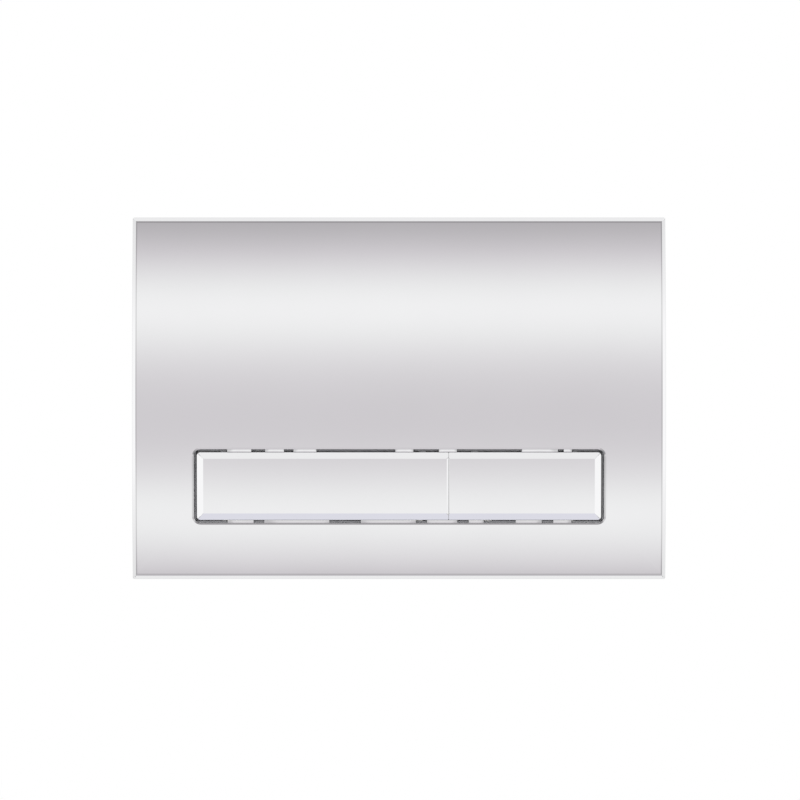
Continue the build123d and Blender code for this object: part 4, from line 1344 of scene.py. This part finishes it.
# White ceiling, cool floor, its dark far edge, white ground below, white sides, which fall off above and
# below the level, and a grey room behind. In front and behind, the room's sides are dark below the level.
ZONES = (
    Zone((1.0, 1.0, 1.0), (Ramp(Measure.RISE, 32, 38),)),
    Zone((0.85, 0.85, 0.93), (Ramp(Measure.RISE, -46, -53),)),
    Zone((0.36, 0.36, 0.38), (Ramp(Measure.RISE, -60, -72),)),
    Zone((1.0, 1.0, 1.0), (Ramp(Measure.RISE, -82, -94),)),
    Zone((1.12, 1.12, 1.12), (Ramp(Measure.TURN, 38, 43),)),
    Zone((0.62, 0.62, 0.62), (Ramp(Measure.TURN, 52, 66), Ramp(Measure.SLANT, 4, 20, Style.EVEN))),
    Zone((0.62, 0.62, 0.63), (BEHIND,)),
    Zone((0.36, 0.36, 0.37), (*UNDER, BEFORE)),
    Zone((0.36, 0.36, 0.37), (*UNDER, BEHIND)),
)


@dataclass
class Studio:
    """Pale floor, soft light and the photograph's straight view. Lengths are in metres."""

    distance: float = 2.0
    view_width: float = 0.3692
    view_plane: float = -0.012
    aim: Span = (0.46 * MM, -0.8 * MM)
    far_clip: float = 50.0
    room_tone: float = 0.73
    panels: tuple[Panel, ...] = (
        Panel(10.0, 6.2, 0.40),
        Panel(-12.1, 5.1, 0.29),
        Panel(24.2, 13.1, -0.315),
        Panel(31.0, 4.0, -0.12),
        Panel(-22.2, 3.3, -0.37),
        Panel(-30.0, 5.5, -0.2),
    )
    cast: Sizes = (1.0, 0.965, 1.0, 1.0)
    cast_tones: Span = (0.72, 0.98)
    beside: Ramp = Ramp(Measure.TURN, 7, 11)
    beside_level: float = 0.75
    dome: tuple[str, float] = ("#F5F7FA", 0.55)
    floor_x: Span = (-1.5, 1.5)
    floor_y: Span = (-0.5, 2.5)
    floor_level: float = -0.22
    floor_colour: str = "#F2F2F2"
    floor_reach: Span = (0.25, 0.55)
    floor_white: Span = (0.6, 1.0)
    lamps: tuple[Lamp, ...] = (
        Lamp("key", (-0.9, -1.3, 1.3), 22.0, (1.2, 1.2)),
        Lamp("rear", (0.9, 1.4, 1.2), 22.0, (1.2, 1.2)),
        Lamp("front", (0.0, -2.4, 0.05), 42.0, (0.9, 0.35)),
    )

    def view(self) -> None:
        """Looks straight at the plate from far off, so that it shows without depth."""
        eye = bpy.data.cameras.new("camera")
        eye.lens = eye.sensor_width * (self.distance + self.view_plane) / self.view_width
        eye.clip_end = self.far_clip
        holder = bpy.data.objects.new("camera", eye)
        holder.location = (self.aim[0], -self.distance, self.aim[1])
        holder.rotation_euler = (math.pi / 2, 0, 0)
        bpy.context.scene.collection.objects.link(holder)
        bpy.context.scene.camera = holder

    def room(self, tree: NodeTree) -> NodeSocket:
        """What the chrome sees by direction.

        Each panel adds gain × exp(−((rise − its rise) / width)²) to the room's tone. Dim tones have a slight
        cast, and beside the panels all this is darker. Then each zone takes over in turn.

        Args:
            tree: Node tree of the world.

        Returns:
            The colour.
        """
        x, y, z = add(tree, "SeparateXYZ", {0: add(tree, "TexCoord")["Generated"]})
        front = add(tree, "Math", {0: y, 1: -1.0}, operation="MULTIPLY")[0]
        aside, steep = (add(tree, "Math", {0: way}, operation="ABSOLUTE")[0] for way in (x, z))
        turns = {
            Measure.RISE: add(tree, "Math", {0: z, 1: front}, operation="ARCTAN2")[0],
            Measure.TURN: add(tree, "Math", {0: aside}, operation="ARCSINE")[0],
            Measure.LIFT: add(tree, "Math", {0: z}, operation="ARCSINE")[0],
            Measure.SLANT: add(tree, "Math", {0: steep}, operation="ARCSINE")[0],
        }
        found = {kind: add(tree, "Math", {0: turn}, operation="DEGREES")[0] for kind, turn in turns.items()}
        found[Measure.FRONT] = front
        tone, rise = self.room_tone, found[Measure.RISE]
        for panel in self.panels:
            ends = {"Value": rise, "From Min": panel.rise, "From Max": panel.rise + panel.width}
            part = add(tree, "MapRange", ends, clamp=False)[0]
            square = add(tree, "Math", {0: part, 1: part}, operation="MULTIPLY")[0]
            bell = add(tree, "Math", {0: 1 / math.e, 1: square}, operation="POWER")[0]
            tone = add(tree, "Math", {0: bell, 1: panel.gain, 2: tone}, operation="MULTIPLY_ADD")[0]
        ends = {"Value": tone, "From Min": self.cast_tones[0], "From Max": self.cast_tones[1]}
        clear = add(tree, "MapRange", ends)[0]
        cast = add(tree, "Mix", {0: clear, 6: self.cast, 7: WHITE}, data_type="RGBA")[2]
        lit = add(tree, "VectorMath", {0: cast, 1: tone}, operation="MULTIPLY")[0]
        dim = add(tree, "VectorMath", {0: lit, "Scale": self.beside_level}, operation="SCALE")[0]
        share = self.beside.share(tree, found)
        colour = add(tree, "Mix", {0: share, 6: lit, 7: dim}, data_type="RGBA")[2]
        for zone in ZONES:
            share = 1.0
            for ramp in zone.ramps:
                share = add(tree, "Math", {0: ramp.share(tree, found), 1: share}, operation="MULTIPLY")[0]
            colour = add(tree, "Mix", {0: share, 6: colour, 7: (*zone.light, 1.0)}, data_type="RGBA")[2]
        return colour

    def world(self) -> None:
        """White for the camera, the room for what is mirrored, and a plain soft dome for all other light."""
        world = bpy.data.worlds.new("studio")
        bpy.context.scene.world = world
        world.use_nodes = True
        tree = world.node_tree
        tree.nodes.clear()
        path = add(tree, "LightPath")
        seen = path["Is Camera Ray"]
        colour = add(tree, "Mix", {0: seen, 6: self.room(tree), 7: WHITE}, data_type="RGBA")[2]
        for ray in ("Is Glossy Ray", "Is Transmission Ray"):
            seen = add(tree, "Math", {0: seen, 1: path[ray]}, operation="MAXIMUM")[0]
        dome = add(tree, "Background", {"Color": linear(self.dome[0]), "Strength": self.dome[1]})[0]
        room = add(tree, "Background", {"Color": colour, "Strength": 1.0})[0]
        mixed = add(tree, "MixShader", {0: seen, 1: dome, 2: room})[0]
        add(tree, "OutputWorld", {"Surface": mixed})

    def floor(self) -> None:
        """White floor that keeps the plate's soft shadow close to it and turns plain white further away."""
        x, y = np.meshgrid(self.floor_x, self.floor_y)
        points = np.stack([x, y, np.full_like(x, self.floor_level)], axis=-1).reshape(-1, 3)
        mesh = bpy.data.meshes.new("floor")
        mesh.from_pydata(points.tolist(), [], [(0, 1, 3, 2)])
        made = bpy.data.materials.new("floor")
        made.use_nodes = True
        tree = made.node_tree
        tree.nodes.clear()
        spot = add(tree, "TexCoord")["Object"]
        away = add(tree, "VectorMath", {0: spot}, operation="LENGTH")["Value"]
        ends = {"Value": away, "From Min": self.floor_reach[0], "From Max": self.floor_reach[1]}
        ends |= {"To Min": self.floor_white[0], "To Max": self.floor_white[1]}
        white = add(tree, "MapRange", ends)[0]
        seen = add(tree, "LightPath")["Is Camera Ray"]
        share = add(tree, "Math", {0: seen, 1: white}, operation="MULTIPLY")[0]
        matt = add(tree, "BsdfDiffuse", {"Color": linear(self.floor_colour)})[0]
        glow = add(tree, "Emission", {"Color": WHITE, "Strength": 1.0})[0]
        mixed = add(tree, "MixShader", {0: share, 1: matt, 2: glow})[0]
        add(tree, "OutputMaterial", {"Surface": mixed})
        mesh.materials.append(made)
        ground = bpy.data.objects.new("floor", mesh)
        ground.visible_glossy = False
        bpy.context.scene.collection.objects.link(ground)

    def light(self) -> None:
        """Large soft lamps in front from above and behind, and a wide one straight in front for the gaps."""
        for lamp in self.lamps:
            made = bpy.data.lights.new(lamp.name, "AREA")
            made.shape = "RECTANGLE"
            made.size, made.size_y = lamp.size
            made.energy = lamp.power
            holder = bpy.data.objects.new(lamp.name, made)
            holder.location = lamp.spot
            x, y, z = lamp.spot
            tip, turn = math.acos(z / math.hypot(x, y, z)), math.atan2(-y, -x) - math.pi / 2
            holder.rotation_euler = (tip, 0, turn)
            holder.visible_glossy = False
            bpy.context.scene.collection.objects.link(holder)

    def build(self) -> None:
        """Sets the whole scene round the object."""
        for make in (self.view, self.world, self.floor, self.light):
            make()
        bpy.context.scene.view_settings.view_transform = "Standard"


def main() -> None:
    """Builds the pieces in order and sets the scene."""
    logging.basicConfig(level=logging.INFO, format="%(message)s")
    plate = FacePlate()
    plate.build()
    for button in Button:
        ButtonCap(button).build()
        PushWorks(button).build()
        Moulding(button.named("rocker"), ROCKER, button.named("button")).build()
    Moulding("button_carrier", CARRIER).build()
    Moulding("mounting_frame", FRAME).build()
    CarrierFixings(plate).build()
    WallFixings().build()
    Studio().build()


if __name__ == "__main__":
    main()
